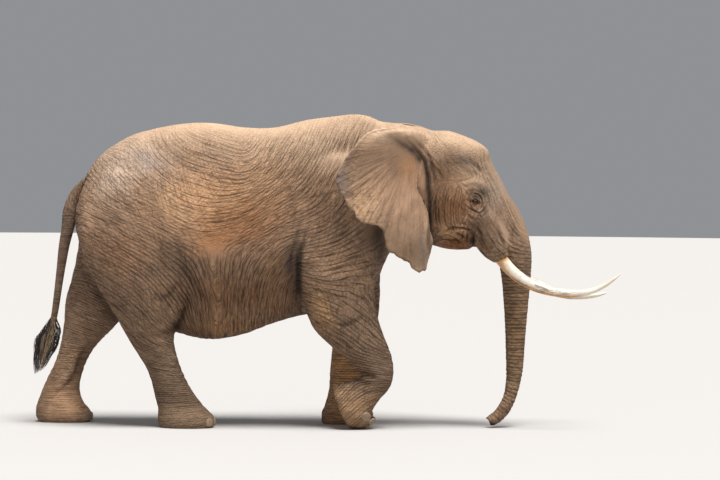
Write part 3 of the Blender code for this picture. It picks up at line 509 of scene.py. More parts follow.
def ear_shell(side, lift):
    """(points, faces) of one ear. The middle sheet runs straight from root to edge and bellies out by half a
    sine; ripples that grow towards the edge, a rolled upper margin and a ragged lower one are added to it,
    and the two faces lie half the thickness to each side."""
    down = np.linspace(0, 1, EAR_COLUMNS)[None, :]
    out = np.linspace(0, 1, EAR_ROWS)[:, None]
    inner = evenly(smooth_rows(EAR_ROOT, 8), EAR_COLUMNS)[None]
    outer = evenly(smooth_rows(EAR_EDGE, 12), EAR_COLUMNS)[None]
    low_edge = blend(0.45, 0.62, down) * (1 - blend(0.93, 1.0, down))
    ragged = np.abs(np.sin(47 * down + 3 * np.sin(13 * down))) ** 6 + 0.6 * np.abs(np.sin(111 * down)) ** 8
    reach = out * (1 - EAR_NOTCH * ragged * low_edge * out**4)
    sheet = inner + (outer - inner) * reach[..., None]
    belly = EAR_BULGE * np.sin(np.pi * out) * np.sin(np.pi * down) ** 0.5
    sway = EAR_SWAYS[0] * np.sin(2 * np.pi * (3.1 * down + 0.35 * out))
    sway = sway + EAR_SWAYS[1] * np.sin(2 * np.pi * (7.3 * down - 0.3 * out))
    roll = -EAR_ROLL * blend(0.80, 1.0, out) * (1 - blend(0.30, 0.42, down)) * blend(0, 0.06, down)
    sheet[..., 1] += belly + sway * out**1.5 * blend(0, 0.1, down) + roll
    sheet[..., 2] += lift * out * (1 - down)
    facing = np.cross(np.gradient(sheet, axis=0), np.gradient(sheet, axis=1))
    facing /= np.linalg.norm(facing, axis=2, keepdims=True)
    facing *= np.sign(facing[..., 1].mean())
    half = (EAR_BASE + (EAR_RIM - EAR_BASE) * out**0.7) / 2 + EAR_BEAD * hump(1 - out, 0, 0.03)
    half = half * np.sqrt(np.clip((1 - out) / 0.02, 0.04, 1)) * np.sqrt(np.clip(down / 0.012, 0.1, 1))
    half = half * np.sqrt(np.clip((1 - down) / 0.012, 0.1, 1))
    faces_out, faces_in = sheet + facing * half[..., None], sheet - facing * half[..., None]
    rings = np.concatenate([faces_out, faces_in[:, ::-1]], axis=1)
    rings[..., 1] *= side
    return capped_flat(rings)


def capped_flat(rings):
    """A closed tube of flat rings, whose two ends are closed across by quads."""
    count, around, _ = rings.shape
    faces = [tube_faces(count, around)]
    k = np.arange(around // 2 - 1)
    for row, order in ((0, 1), (count - 1, -1)):
        base = row * around
        quad = np.stack([base + k, base + k + 1, base + around - 2 - k, base + around - 1 - k], axis=1)
        faces.append(quad[:, ::order])
    return rings.reshape(-1, 3), faces


def melt_ear_root(mesh, part):
    """Smooths the hide where the top of each ear meets the head, so that the one runs into the other."""
    near = Neighbours(mesh)
    point = places(mesh)
    on_ear = (part == EAR).astype(float)
    reach = (np.abs(near.mean(on_ear) - on_ear) > 0.05).astype(float)
    for _ in range(EAR_MELT_STEPS):
        reach = np.maximum(reach, near.mean(reach))
    share = blend(0.0, 0.25, reach) * blend(1.98, 2.10, point[:, 2]) * blend(0.45, 0.55, point[:, 0])
    corner = blend(0.13, 0.06, flat_distance(point, EAR_CORNER))
    share = np.maximum(share, corner) * (part != TAIL_SKIN)
    for _ in range(EAR_MELT_ROUNDS):
        point += SOFT_STEP * share[:, None] * (near.mean(point) - point)
    move(mesh, point)


def hide_surface(voxel, rounds):
    """(mesh, part) of the whole hide: the melted body united with the ears and the tail, and for each vertex
    the surface it came from, which the Boolean carries as a material number."""
    body = melted_body(voxel)
    soften(body, rounds)
    ears = joined([ear_shell(-1, 0.0), ear_shell(1, LEFT_EAR_LIFT)])
    tail = capped(loft_rings(TAIL, TAIL_AROUND, TAIL_SPAN))
    base = linked("body", body)
    for number, (points, faces) in ((EAR, ears), (TAIL_SKIN, tail)):
        mesh = facing_out(mesh_of("inset", points, faces))
        for mesh_here in (mesh, body):
            while len(mesh_here.materials) <= TAIL_SKIN:
                mesh_here.materials.append(bpy.data.materials.new("part"))
        mesh.polygons.foreach_set("material_index", np.full(len(mesh.polygons), number, np.int32))
        union = base.modifiers.new("union", "BOOLEAN")
        union.operation, union.object, union.solver = "UNION", linked("inset", mesh), "EXACT"
        union.material_mode = "INDEX"
    insets = [modifier.object for modifier in base.modifiers]
    mesh = with_modifiers(base)
    for inset in insets:
        bpy.data.objects.remove(inset, do_unlink=True)
    number = values_of(mesh.polygons, "material_index", kind=np.int32)
    sizes = values_of(mesh.polygons, "loop_total", kind=np.int32)
    corners = values_of(mesh.loops, "vertex_index", kind=np.int32)
    part = np.zeros(len(mesh.vertices), np.int32)
    np.maximum.at(part, corners, np.repeat(number, sizes))
    mesh.materials.clear()
    mesh.polygons.foreach_set("material_index", np.zeros(len(mesh.polygons), np.int32))
    melt_ear_root(mesh, part)
    return mesh, part


# ---------------------------------------------------------------- the run of the wrinkles
# x, z, the angle of the wrinkles there in degrees up from +X, side (0 both, -1 right, 1 left). An angle 180
# more is the same line counted the other way, so neighbours less than 90 apart run on into each other.
GUIDES = [
    (-1.65, 2.39, 20, 0), (-1.51, 2.11, -60, 0), (-1.85, 1.9, -55, 0), (-1.58, 1.68, -30, 0),
    (-1.85, 1.4, -30, 0), (-1.51, 1.4, -28, 0), (-1.51, 1.18, -32, 0), (-1.44, 0.9, -40, 0),
    (-1.32, 0.68, -25, 0), (-1.22, 1.75, -38, 0), (-1.3, 1.97, -40, 0), (-1.01, 1.9, -15, 0),
    (-0.8, 2.0, -18, 0), (-0.94, 1.68, -2, 0), (-0.72, 1.78, 14, 0), (-0.8, 1.54, 12, 0),
    (-0.58, 1.54, 45, 0), (-0.52, 1.95, 30, 0), (-0.44, 1.75, 55, 0), (-0.295, 1.61, 62, 0),
    (-0.22, 1.9, 60, 0), (-0.37, 2.15, 55, 0), (-0.01, 2.25, 70, 0), (0.06, 1.97, 66, 0),
    (-0.08, 1.68, 56, 0), (-1.15, 1.4, -50, 0), (-1.01, 1.11, -62, 0), (-1.17, 1.18, -58, 0),
    (-0.9, 1.28, -84, 0), (-0.9, 1.1, -86, 0), (-0.9, 0.92, -88, 0), (-0.82, 1.28, 88, 0),
    (-0.82, 1.1, 90, 0), (-0.82, 0.92, 91, 0), (-0.97, 0.9, -75, 0), (-0.72, 1.28, 78, 0),
    (-0.58, 1.11, 85, 0), (-0.76, 0.85, 93, 0), (-0.44, 1.32, 72, 0), (-0.37, 0.97, 82, 0),
    (0.02, 1.5, 35, 0), (0.06, 1.36, 18, -1), (0.276, 1.54, 30, 0), (0.13, 1.18, 8, -1),
    (-0.05, 1.06, -45, -1), (0.2, 0.97, -25, -1), (0.276, 0.72, -52, -1), (0.22, 0.86, -45, -1),
    (0.38, 0.5, -20, -1), (0.3, 0.42, 10, -1), (0.24, 0.26, 40, -1), (0.12, 0.3, 50, -1), (0.16, 1.2, 5, 1),
    (0.16, 0.8, 0, 1), (0.16, 0.35, 0, 1), (-1.28, 0.48, -8, 0), (-1.2, 0.24, 5, 0), (-1.9, 0.9, -25, 0),
    (-1.95, 0.78, -20, 0), (-2.05, 0.5, 0, 0), (-2.12, 0.28, 0, 0), (-2.07, 1.6, 5, 0), (-2.12, 1.2, 5, 0),
    (-2.17, 0.9, 5, 0), (0.35, 2.2, 70, 0), (0.6, 1.95, -95, 0), (0.6, 1.65, -95, 0), (0.75, 1.9, -90, 0),
    (0.75, 1.68, -90, 0), (0.87, 1.75, -90, 0), (0.93, 1.69, -90, 0), (1.01, 1.7, -86, 0),
    (1.06, 1.8, -84, 0), (1.07, 1.7, -82, 0), (1.05, 1.63, -76, 0), (0.89, 1.9, -88, 0),
    (0.98, 1.82, -84, 0), (0.9, 2.06, -35, 0), (1.0, 2.2, -10, 0), (1.12, 2.02, 10, 0),
    (1.04, 1.93, -15, 0), (0.88, 1.58, -88, 0), (0.94, 1.54, -72, 0), (1.02, 1.58, -62, 0),
    (1.02, 1.5, -44, 0), (1.08, 1.49, -46, 0), (1.12, 1.59, -25, 0), (1.19, 1.54, -60, 0),
    (0.93, 1.45, -35, 0), (1.22, 1.64, -62, 0), (1.3, 1.6, -68, 0), (1.38, 1.66, -66, 0),
    (1.36, 1.85, -58, 0), (1.27, 2.05, -35, 0), (1.43, 1.5, -52, 0), (1.5, 1.48, -30, 0), (1.56, 1.4, 5, 0),
    (1.5, 1.3, 0, 0), (1.52, 1.0, 0, 0), (1.52, 0.7, 0, 0), (1.51, 0.46, -3, 0), (1.49, 0.32, -8, 0),
    (1.46, 0.2, -24, 0), (1.42, 0.13, -42, 0), (1.36, 0.08, -58, 0),
]
GUIDE_REACH = 0.11  # how far a guide is felt
SPACING = 0.027  # between the wrinkles where nothing below says otherwise
# x, z, half length, half height, metres between the wrinkles there.
SPACINGS = [
    (-1.5, 1.3, 0.35, 0.6, 0.022), (-1.3, 0.35, 0.5, 0.4, 0.016), (-2.05, 0.4, 0.4, 0.5, 0.016),
    (0.1, 1.3, 0.3, 0.3, 0.021), (0.25, 0.5, 0.35, 0.45, 0.019), (1.1, 1.85, 0.42, 0.5, 0.016),
    (0.95, 1.72, 0.15, 0.22, 0.023), (1.5, 0.7, 0.2, 0.85, 0.029), (-1.1, 1.2, 0.18, 0.28, 0.033),
    (-2.1, 1.3, 0.15, 0.6, 0.015),
]
CHEEK = (0.95, 1.755, 0.145, 0.185)  # its middle, half length and half height
CHEEK_SPACING = 0.022
CHEEK_BEND = 1.3  # how strongly the cheek's wrinkles bow towards the ear
LEEWAY = 0.06  # how little an edge across the wrinkles counts, against one along them
SEED = 11  # of the modelled wrinkles
RING_DEPTH, EAR_FOLD_DEPTH = 0.0035, 0.013  # of the trunk's rings and of the ears' folds


def wrinkle_slopes(points, part):
    """For each point, two vectors that say how fast wrinkles are counted there: across them, and along them.
    Their angle is a mean of the guides' doubled angles, weighted by a bell curve of the distance in the X-Z
    plane; the guides' undoubled mean says which way is up. On an ear they spread from its hub."""
    double, single = np.full((len(points), 2), 1e-9), np.zeros((len(points), 2))
    for x, z, angle, side in GUIDES:
        away = (points[:, 0] - x) ** 2 + (points[:, 2] - z) ** 2
        near = (np.exp(-away / (2 * GUIDE_REACH**2)) + 1e-9 / (1 + away)) * on_side(points, side)
        turn = np.radians(angle)
        double += near[:, None] * np.array([np.cos(2 * turn), np.sin(2 * turn)])
        single += near[:, None] * np.array([-np.sin(turn), np.cos(turn)])
    turn = 0.5 * np.arctan2(double[:, 1], double[:, 0])
    count = np.full(len(points), 1 / SPACING)
    for x, z, wide, high, metres in SPACINGS:
        count += bell(points, x, z, wide, high, power=4) * (1 / metres - count)
    on_ear = part == EAR
    turn = np.where(on_ear, np.arctan2(points[:, 2] - EAR_HUB[1], points[:, 0] - EAR_HUB[0]), turn)
    from_hub = flat_distance(points, EAR_HUB)
    count = np.where(on_ear, EAR_FAN / (EAR_SPACING * np.maximum(from_hub, 0.08)), count)
    across = np.stack([-np.sin(turn), 0 * turn, np.cos(turn)], axis=1)
    flip = np.where(on_ear, 1, np.sign(across[:, 0] * single[:, 0] + across[:, 2] * single[:, 1]))
    along = np.stack([np.cos(turn), 0 * turn, np.sin(turn)], axis=1)
    scale = (count * flip)[:, None]
    return across * scale, along * scale


def counted(near, points, slope, firm, rounds=900):
    """A number for each vertex whose steps along the edges fit the slopes as well as they can: the weighted
    least-squares answer, found by conjugate gradients. Edges that run along a wrinkle count for more, so that
    the lines keep their run and give way in their spacing; where the hide isn't firm it gives way in both."""
    edge = points[near.end] - points[near.start]
    mean = 0.5 * (slope[near.start] + slope[near.end])
    step = np.einsum("ij,ij->i", mean, edge)
    size = np.linalg.norm(mean, axis=1) * np.linalg.norm(edge, axis=1) + 1e-9
    weight = firm[near.start] * firm[near.end] / (LEEWAY + (step / size) ** 2)
    total = np.bincount(near.start, weight, near.count)
    left = -np.bincount(near.start, weight * step, near.count)
    number = np.zeros(near.count)
    scaled = left / total
    way, power = scaled.copy(), left @ scaled
    for _ in range(rounds):
        pushed = total * way - np.bincount(near.start, weight * way[near.end], near.count)
        share = power / (way @ pushed)
        number += share * way
        left = left - share * pushed
        scaled = left / total
        power, before = left @ scaled, power
        way = scaled + (power / before) * way
    return number


def creases(points, number, length, seed):
    """From 0 in a crease to 1 between them: creases run where the number, shifted by noise, is whole, and
    each deepens and fades along its way."""
    level = np.column_stack([points[:, 0], points[:, 1] + 0.31 * number * length, points[:, 2]])
    shifted = number + 0.45 * noise(level, length, seed) + 0.15 * noise(level, length / 4, seed + 1)
    depth = 0.35 + 0.65 * blend(-0.35, 0.35, noise(level, length * 0.7, seed + 2))
    return 1 - depth * (1 - np.abs(np.sin(np.pi * shifted))) ** 1.3


# ---------------------------------------------------------------- forms under the hide
# x, z, half length, half height, turn in degrees, metres out (below 0 in), side (0 both, -1 right, 1 left).
FORMS = [
    (-0.02, 1.92, 0.12, 0.28, 12, 0.008, 0),  # shoulder blade
    (0.12, 1.95, 0.05, 0.30, 10, -0.012, 0),
    (-0.24, 1.90, 0.07, 0.34, 14, -0.014, 0),  # hollow behind it
    (0.02, 1.42, 0.20, 0.20, 0, 0.014, 0),  # upper arm
    (-0.14, 1.22, 0.05, 0.20, 5, 0.010, -1),  # elbow
    (-1.42, 2.10, 0.16, 0.10, -30, 0.016, 0),  # hip bone
    (-1.22, 1.98, 0.12, 0.16, -35, -0.020, 0),  # hunger hollow
    (-1.60, 1.85, 0.14, 0.22, 20, -0.012, 0),
    (-1.50, 1.45, 0.22, 0.28, 0, 0.012, 0),  # thigh
    (-1.25, 1.02, 0.08, 0.16, -30, 0.014, -1),  # knee
    (-0.72, 1.40, 0.40, 0.22, 0, 0.012, 0),  # belly
    (1.02, 2.12, 0.13, 0.12, -10, -0.024, 0),  # temple hollow
    (1.16, 1.93, 0.14, 0.05, -12, 0.016, 0),  # brow ridge
    (1.03, 1.85, 0.10, 0.05, 5, 0.012, 0),  # cheekbone
    (1.10, 1.73, 0.10, 0.06, 0, -0.010, 0),  # hollow under the eye
    (1.30, 1.72, 0.05, 0.16, 25, 0.010, 0),  # side of the trunk's root
    (1.23, 1.78, 0.03, 0.12, 15, -0.008, 0),
    (0.92, 1.62, 0.08, 0.10, 0, 0.012, 0),  # cheek
]
# Folds: the points they run through in X-Z, half width, depth, side.
FOLDS = [
    # body and legs
    ([(-0.14, 1.61), (-0.196, 1.43), (-0.212, 1.19), (-0.236, 0.99)], 0.022, 0.022, -1),
    ([(-0.20, 1.62), (-0.262, 1.42), (-0.285, 1.22)], 0.018, 0.010, -1),
    ([(-1.30, 0.74), (-1.17, 0.79), (-1.12, 0.90), (-1.08, 1.05)], 0.024, 0.020, -1),
    ([(-1.36, 1.02), (-1.24, 1.06), (-1.16, 1.16)], 0.018, 0.008, -1),
    ([(-1.18, 1.50), (-1.12, 1.30), (-1.02, 1.12), (-0.93, 1.00)], 0.030, 0.007, 0),
    ([(-0.26, 1.88), (-0.27, 1.76), (-0.22, 1.62)], 0.022, 0.004, 0),
    ([(0.30, 0.93), (0.22, 0.86), (0.10, 0.84)], 0.016, 0.009, -1),
    ([(0.29, 0.47), (0.34, 0.44), (0.42, 0.43)], 0.016, 0.010, -1),
    ([(0.27, 0.40), (0.32, 0.37), (0.38, 0.34)], 0.014, 0.010, -1),
    ([(0.25, 0.345), (0.29, 0.32), (0.33, 0.29)], 0.012, 0.008, -1),
    ([(0.07, 0.30), (0.18, 0.29), (0.30, 0.30)], 0.014, 0.006, 1),
    ([(-1.32, 0.26), (-1.20, 0.25), (-1.08, 0.27)], 0.014, 0.006, -1),
    ([(-2.25, 0.26), (-2.14, 0.25), (-2.03, 0.27)], 0.014, 0.006, 1),
    ([(-1.90, 0.66), (-1.98, 0.52), (-2.02, 0.40), (-2.10, 0.29), (-2.20, 0.22)], 0.020, 0.012, 1),
    # head
    ([(0.63, 2.30), (0.73, 2.19), (0.79, 2.07), (0.80, 1.91), (0.82, 1.80)], 0.016, 0.012, 0),
    ([(0.67, 2.31), (0.775, 2.20), (0.835, 2.07), (0.845, 1.93)], 0.014, 0.008, 0),
    ([(0.82, 1.80), (0.815, 1.65), (0.81, 1.49), (0.84, 1.38)], 0.014, 0.010, 0),
    ([(1.10, 1.885), (1.16, 1.90), (1.22, 1.88), (1.26, 1.84)], 0.009, 0.008, 0),
    ([(1.08, 1.93), (1.15, 1.95), (1.23, 1.93)], 0.010, 0.005, 0),
    ([(1.15, 2.11), (1.19, 2.08), (1.22, 2.04)], 0.014, 0.008, 0),
    ([(1.10, 1.785), (1.16, 1.738), (1.22, 1.728), (1.262, 1.765), (1.268, 1.82)], 0.007, 0.008, 0),
    ([(1.17, 1.705), (1.235, 1.70), (1.285, 1.75)], 0.007, 0.006, 0),
    ([(1.10, 1.70), (1.16, 1.675), (1.23, 1.67)], 0.008, 0.004, 0),
    ([(0.93, 1.555), (1.00, 1.535), (1.06, 1.485), (1.13, 1.435)], 0.009, 0.012, 0),
    ([(0.94, 1.575), (1.02, 1.600), (1.11, 1.595), (1.165, 1.55)], 0.009, 0.012, 0),
    ([(0.95, 1.52), (1.00, 1.49), (1.08, 1.445)], 0.009, 0.009, 0),
    ([(1.00, 1.57), (1.06, 1.545), (1.12, 1.49)], 0.008, 0.010, 0),
    ([(1.155, 1.57), (1.168, 1.50), (1.174, 1.43)], 0.013, 0.024, 0),
    ([(1.12, 1.60), (1.115, 1.54), (1.12, 1.48)], 0.010, 0.008, 0),
    ([(1.085, 1.60), (1.075, 1.54), (1.08, 1.48)], 0.010, 0.006, 0),
    ([(1.20, 1.62), (1.23, 1.52), (1.28, 1.43)], 0.012, 0.008, 0),
    ([(1.34, 1.62), (1.38, 1.52), (1.43, 1.43)], 0.014, 0.008, 0),
    ([(0.87, 1.90), (0.865, 1.75), (0.875, 1.60)], 0.009, 0.006, 0),
]


def line_distance(points, line):
    """Distance in the X-Z plane to the smooth line through those places, and how far along it from 0 to 1."""
    knots = smooth_rows(line, 4)
    flat = points[:, [0, 2]]
    best = np.full(len(points), np.inf)
    where = np.zeros(len(points))
    for k, (a, b) in enumerate(zip(knots[:-1], knots[1:])):
        t = np.clip(((flat - a) @ (b - a)) / ((b - a) @ (b - a)), 0, 1)
        away = np.linalg.norm(flat - a - t[:, None] * (b - a), axis=1)
        nearer = away < best
        best[nearer], where[nearer] = away[nearer], (k + t[nearer]) / (len(knots) - 1)
    return best, where


def fold_relief(points, out):
    """Metres out for all folds together, and how deep in a fold each point is, from 0 to 1: a bell-shaped
    groove with a raised lip on each side, both fading towards the fold's two ends and where the hide turns
    away from the side."""
    relief, depth = np.zeros(len(points)), np.zeros(len(points))
    sideways = np.abs(out[:, 1]) ** 0.5
    wandering = points + 0.010 * drift(points, 0.09, 71)
    flat = points[:, [0, 2]]
    for line, width, deep, side in FOLDS:
        low, high = np.min(line, axis=0) - 4 * width, np.max(line, axis=0) + 4 * width
        near = np.nonzero(((flat > low) & (flat < high)).all(axis=1))[0]
        if not len(near):
            continue
        away, where = line_distance(wandering[near], line)
        fade = np.sin(np.pi * np.clip(where, 0.04, 0.96)) ** 0.5 * sideways[near]
        fade *= on_side(points[near], side)
        groove, lips = hump(away, 0, width) * fade, hump(away, 1.9 * width, width) * fade
        relief[near] += deep * (0.5 * lips - groove)
        # how deep in a fold, later painted as shade
        depth[near] = np.maximum(depth[near], groove * min(1.0, deep / 0.012))
    return relief, depth


def form_relief(points, out):
    """Metres out for the bones and muscles: bell-shaped swellings and hollows seen from the side."""
    relief = np.zeros(len(points))
    for x, z, wide, high, turn, height, side in FORMS:
        shape = bell(points, x, z, wide, high, turn)
        relief += height * shape * np.abs(out[:, 1]) * on_side(points, side)
    return relief


# ---------------------------------------------------------------- eyes, tusk pockets and the trunk's tip
EYE = np.array([1.174, 0.270, 1.806])  # middle of the left eyeball
EYE_FACING = np.array([0.26, 0.945, 0.185])  # the way the left eye looks
EYE_SLANT = -10  # degrees that the slit is turned up towards the trunk
BALL = 0.027  # radius of the eyeball
LID = 0.0045  # how far the lids stand over the ball
SLIT_HALF = 0.032  # half the slit's length
UPPER_LID, LOWER_LID = 0.0200, 0.0165  # the slit's height over and under its line
EYE_REACH = 0.125  # metres of hide round the eye that are worked
RIM_CATCH = 0.0012  # a vertex as near as this to the slit's rim is drawn onto it
LID_KEEN = 0.005  # how gently the lids run out into the hide
EYE_FINE = (0.085, 0.052)  # the mesh is made finer within these distances of the eye
MOUTH, MOUTH_FINE = (1.08, 0.20, 1.53), 0.15  # and within this one of the corner of the mouth
POCKET_DEEP, POCKET_LIP, POCKET_CREASE = 0.030, 0.010, 0.005  # of the pocket that a tusk grows out of
NOSTRIL_DEEP, FINGER, HEEL = 0.030, 0.012, 0.006  # how far the trunk's end is sunk, and its lips drawn out


def eye_axes(side):
    """(middle, forward, up, out) of one eye as arrays."""
    flip = np.array([1, side, 1])
    out = EYE_FACING * flip / np.linalg.norm(EYE_FACING)
    slant = np.radians(EYE_SLANT)
    forward = np.array([np.cos(slant), 0, np.sin(slant)])
    forward -= forward @ out * out
    forward /= np.linalg.norm(forward)
    up = np.cross(forward, out) * side * -1
    return EYE * flip, forward, up * np.sign(up[2]), out


def finer(mesh, middle, reach):
    """Splits the edges within reach of the middle in two, so that small forms can be worked there."""
    near = np.linalg.norm(places(mesh) - middle, axis=1) < reach
    edges = values_of(mesh.edges, "vertices", 2, np.int32).reshape(-1, 2)
    shape = bmesh.new()
    shape.from_mesh(mesh)
    shape.edges.ensure_lookup_table()
    picked = [shape.edges[k] for k in np.nonzero(near[edges].all(axis=1))[0]]
    bmesh.ops.subdivide_edges(shape, edges=picked, cuts=1, use_grid_fill=True, smooth=0.4)
    shape.to_mesh(mesh)
    shape.free()


def open_eye(point, side):
    """Lids over the eyeball: the hide is raised to a sphere a little larger than the ball, with the slit's
    almond (height falling with the square of the way to its corners) sunk behind the ball, rings of folds
    round it and a crease from its rear corner. Returns the vertices and how dark each is, which is painted
    shade in the rings, the rear crease and along the slit's rim."""
    middle, forward, up, out = eye_axes(side)
    near = np.nonzero(np.linalg.norm(point - middle, axis=1) < EYE_REACH)[0]
    a, b, h = ((point[near] - middle) @ axis for axis in (forward, up, out))
    around, bearing = np.hypot(a, b), np.arctan2(b, a)
    in_slit = np.abs(a) < SLIT_HALF
    rim = np.where(b > 0, UPPER_LID, -LOWER_LID) * np.clip(1 - (a / SLIT_HALF) ** 2, 0, 1)
    off = np.abs(b) - np.abs(rim)
    b = np.where((np.abs(off) < RIM_CATCH) & in_slit, rim, b)
    shell = np.sqrt(np.clip((BALL + LID) ** 2 - around**2, 0, None))
    mixed = LID_KEEN * np.logaddexp(h / LID_KEEN, np.where(around < BALL + LID, shell, 0) / LID_KEEN)
    raised = h + (mixed - h) * (1 - blend(0.035, 0.07, around))
    lid_fold = 0.004 * hump(off, 0.006, 0.0022) * (around < 0.05)
    front = 0.1 + 0.9 * blend(-0.1, 0.6, np.cos(bearing - 0.7))
    around = around * (1 + 0.10 * np.sin(2 * bearing + 0.4) + 0.05 * noise(point[near], 0.03, 6))
    socket_ring = hump(around, 0.060, 0.006) * front
    outer_ring = hump(around, 0.086, 0.006) * blend(0.0, 0.6, np.cos(bearing + 0.5))
    corner = hump(b + 0.012 + 0.25 * (a + 0.031), 0, 0.005)
    corner = corner * blend(0.030, 0.036, -a) * (1 - blend(0.075, 0.10, -a))
    ripple = 0.002 * np.sin(around * 2 * np.pi / 0.014 + 2 * noise(point[near], 0.02, 5))
    ripple *= blend(0.034, 0.042, around) * (1 - blend(0.07, 0.11, around))
    brow = 0.005 * hump(around, 0.048, 0.009) * blend(0.0, 0.5, np.sin(bearing))
    raised = raised - lid_fold + ripple + brow - 0.008 * socket_ring - 0.004 * outer_ring - 0.005 * corner
    sunk = np.sqrt(np.clip(BALL**2 - a**2 - b**2, 0, None)) - 0.006
    h = np.where((off < -RIM_CATCH) & in_slit, sunk, raised)
    point[near] = middle + a[:, None] * forward + b[:, None] * up + h[:, None] * out
    lined = hump(np.maximum(off, 0), 0, 0.006) * (around < 0.045)
    # painted shade in the rings, the rear crease and along the rim of the slit
    return near, np.maximum.reduce([0.75 * socket_ring, 0.4 * outer_ring, 0.6 * corner, lined])


def hold_tusk(point, side):
    """The pocket that a tusk grows out of: hide nearer to the tusk's line than its radius is drawn back along
    it, and what lies just outside swells into a lip, with a crease round that."""
    rows = smooth_rows(TUSKS[side], 6)[:22]
    line, radius = rows[:, :3], rows[:, 3]
    near = np.nonzero(np.linalg.norm(point - line[7], axis=1) < 0.14)[0]
    away = np.linalg.norm(point[near][:, None] - line[None], axis=2)
    at = away.argmin(axis=1)
    along = np.gradient(line, axis=0)
    along /= np.linalg.norm(along, axis=1, keepdims=True)
    gap = away.min(axis=1) - radius[at]
    drawn = -POCKET_DEEP * (1 - blend(-0.006, 0.004, gap))
    rim = POCKET_LIP * hump(gap, 0.011, 0.008) - POCKET_CREASE * hump(gap, 0.030, 0.006)
    point[near] += along[at] * (drawn + rim * blend(2, 6, at))[:, None]


def open_nostrils(point):
    """Two hollows in the end of the trunk, and the lips over and under them drawn out."""
    tip, before = np.array(TRUNK[-1][:3]), np.array(TRUNK[-2][:3])
    out = (tip - before) / np.linalg.norm(tip - before)
    up = np.cross(out, [0, 1, 0])
    up *= np.sign(up[2])
    local = point - tip
    near = np.nonzero((np.linalg.norm(local, axis=1) < 0.075) & (point[:, 0] < tip[0] + 0.03))[0]
    aside, high = local[near][:, 1], local[near] @ up
    drawn = FINGER * hump(aside, 0, 0.014) * hump(high, 0.034, 0.012)
    drawn += HEEL * hump(aside, 0, 0.020) * hump(high, -0.030, 0.012)
    for side in (-1, 1):
        drawn -= NOSTRIL_DEEP * hump(aside, 0.016 * side, 0.010) * hump(high, 0, 0.013)
    point[near] += drawn[:, None] * out


# ---------------------------------------------------------------- the worked hide
def wrinkle_counts(near, point, part):
    """Two numbers for each vertex. The first is whole along the wrinkles that follow the guides, the second
    along those that cross them. On an ear they are its bearing and distance from the hub, and on the cheek
    the first is whole along upright lines that bow towards the ear."""
    across, along = wrinkle_slopes(point, part)
    firm = 1 - 0.93 * blend(0.35, 0.65, faded(point)[0])
    line, cross = counted(near, point, across, firm), counted(near, point, along, firm)
    bearing = np.arctan2(EAR_HUB[1] - point[:, 2], EAR_HUB[0] - point[:, 0])
    line = np.where(part == EAR, bearing * EAR_FAN / EAR_SPACING, line)
    cross = np.where(part == EAR, flat_distance(point, EAR_HUB) / EAR_SPACING, cross)
    bowed = point[:, 0] - CHEEK_BEND * (point[:, 2] - CHEEK[1]) ** 2 + 0.012 * noise(point, 0.12, 53)
    return np.where((part == BODY) & (cheek_edge(point) < 0), bowed / CHEEK_SPACING, line), cross


def wrinkle_relief(point, out, part, line, sizes):
    """Metres out for the modelled wrinkles: the body's, closer ones on the head, the trunk's rings, the ears'
    folds, and a gentle unevenness."""
    body = (part == BODY).astype(float)
    on_trunk = blend(1.28, 1.36, point[:, 0]) * (1 - blend(1.50, 1.62, point[:, 2])) * body
    on_ear = (part == EAR) * blend(0.18, 0.5, flat_distance(point, EAR_HUB))
    upward = blend(0.35, 0.85, out[:, 2]) * blend(1.9, 2.2, point[:, 2])
    rough = sizes.wrinkle_depth * body * (1 - 0.7 * upward)
    closer = 0.6 * rough * blend(FINE_FROM, FINE_TO, point[:, 0])
    relief = rough * (1 - 0.7 * on_trunk) * (creases(point, line / 3.5, 0.35, SEED) - 0.7)
    relief += closer * (creases(point, line / 1.5, 0.2, SEED + 1) - 0.7)
    relief += RING_DEPTH * on_trunk * (creases(point, line, 0.3, SEED + 3) - 0.6)
    relief += EAR_FOLD_DEPTH * on_ear * (creases(point, line / 1.7, 0.3, SEED + 4) - 0.6)
    return relief + 0.004 * noise(point, 0.22, SEED + 2) * body


def work_hide(mesh, part, sizes):
    """Moves the hide's vertices: wrinkles, folds, bones and muscles, lids, pockets and nostrils. Returns how
    hollow the surface is, how deep in a fold each vertex lies, and the two counts of wrinkles."""
    near = Neighbours(mesh)
    point, out = places(mesh), normals(mesh)
    line, cross = wrinkle_counts(near, point, part)
    folds, depth = fold_relief(point, out)
    relief = wrinkle_relief(point, out, part, line, sizes)
    relief += folds * (part != TAIL_SKIN) + form_relief(point, out) * (part == BODY)
    relief = np.minimum(relief, sizes.stand_out) * blend(0.0, 0.05, point[:, 2])
    point += out * relief[:, None]
    for side in (-1, 1):
        lids, lined = open_eye(point, side)
        depth[lids] = np.maximum(depth[lids], lined)
        hold_tusk(point, side)
    open_nostrils(point)
    point[:, 2] = np.maximum(point[:, 2], 0)
    move(mesh, point)
    bend = np.einsum("ij,ij->i", near.mean(point) - point, normals(mesh)) / near.spacing(point)
    for _ in range(2):
        bend = 0.5 * bend + 0.5 * near.mean(bend)
    return np.clip(bend * 5, -1, 1), depth, line, cross


# ---------------------------------------------------------------- colours of the hide
DUST = (0.55, 0.374, 0.245)
HIDE_COLOUR = (0.28, 0.178, 0.112)
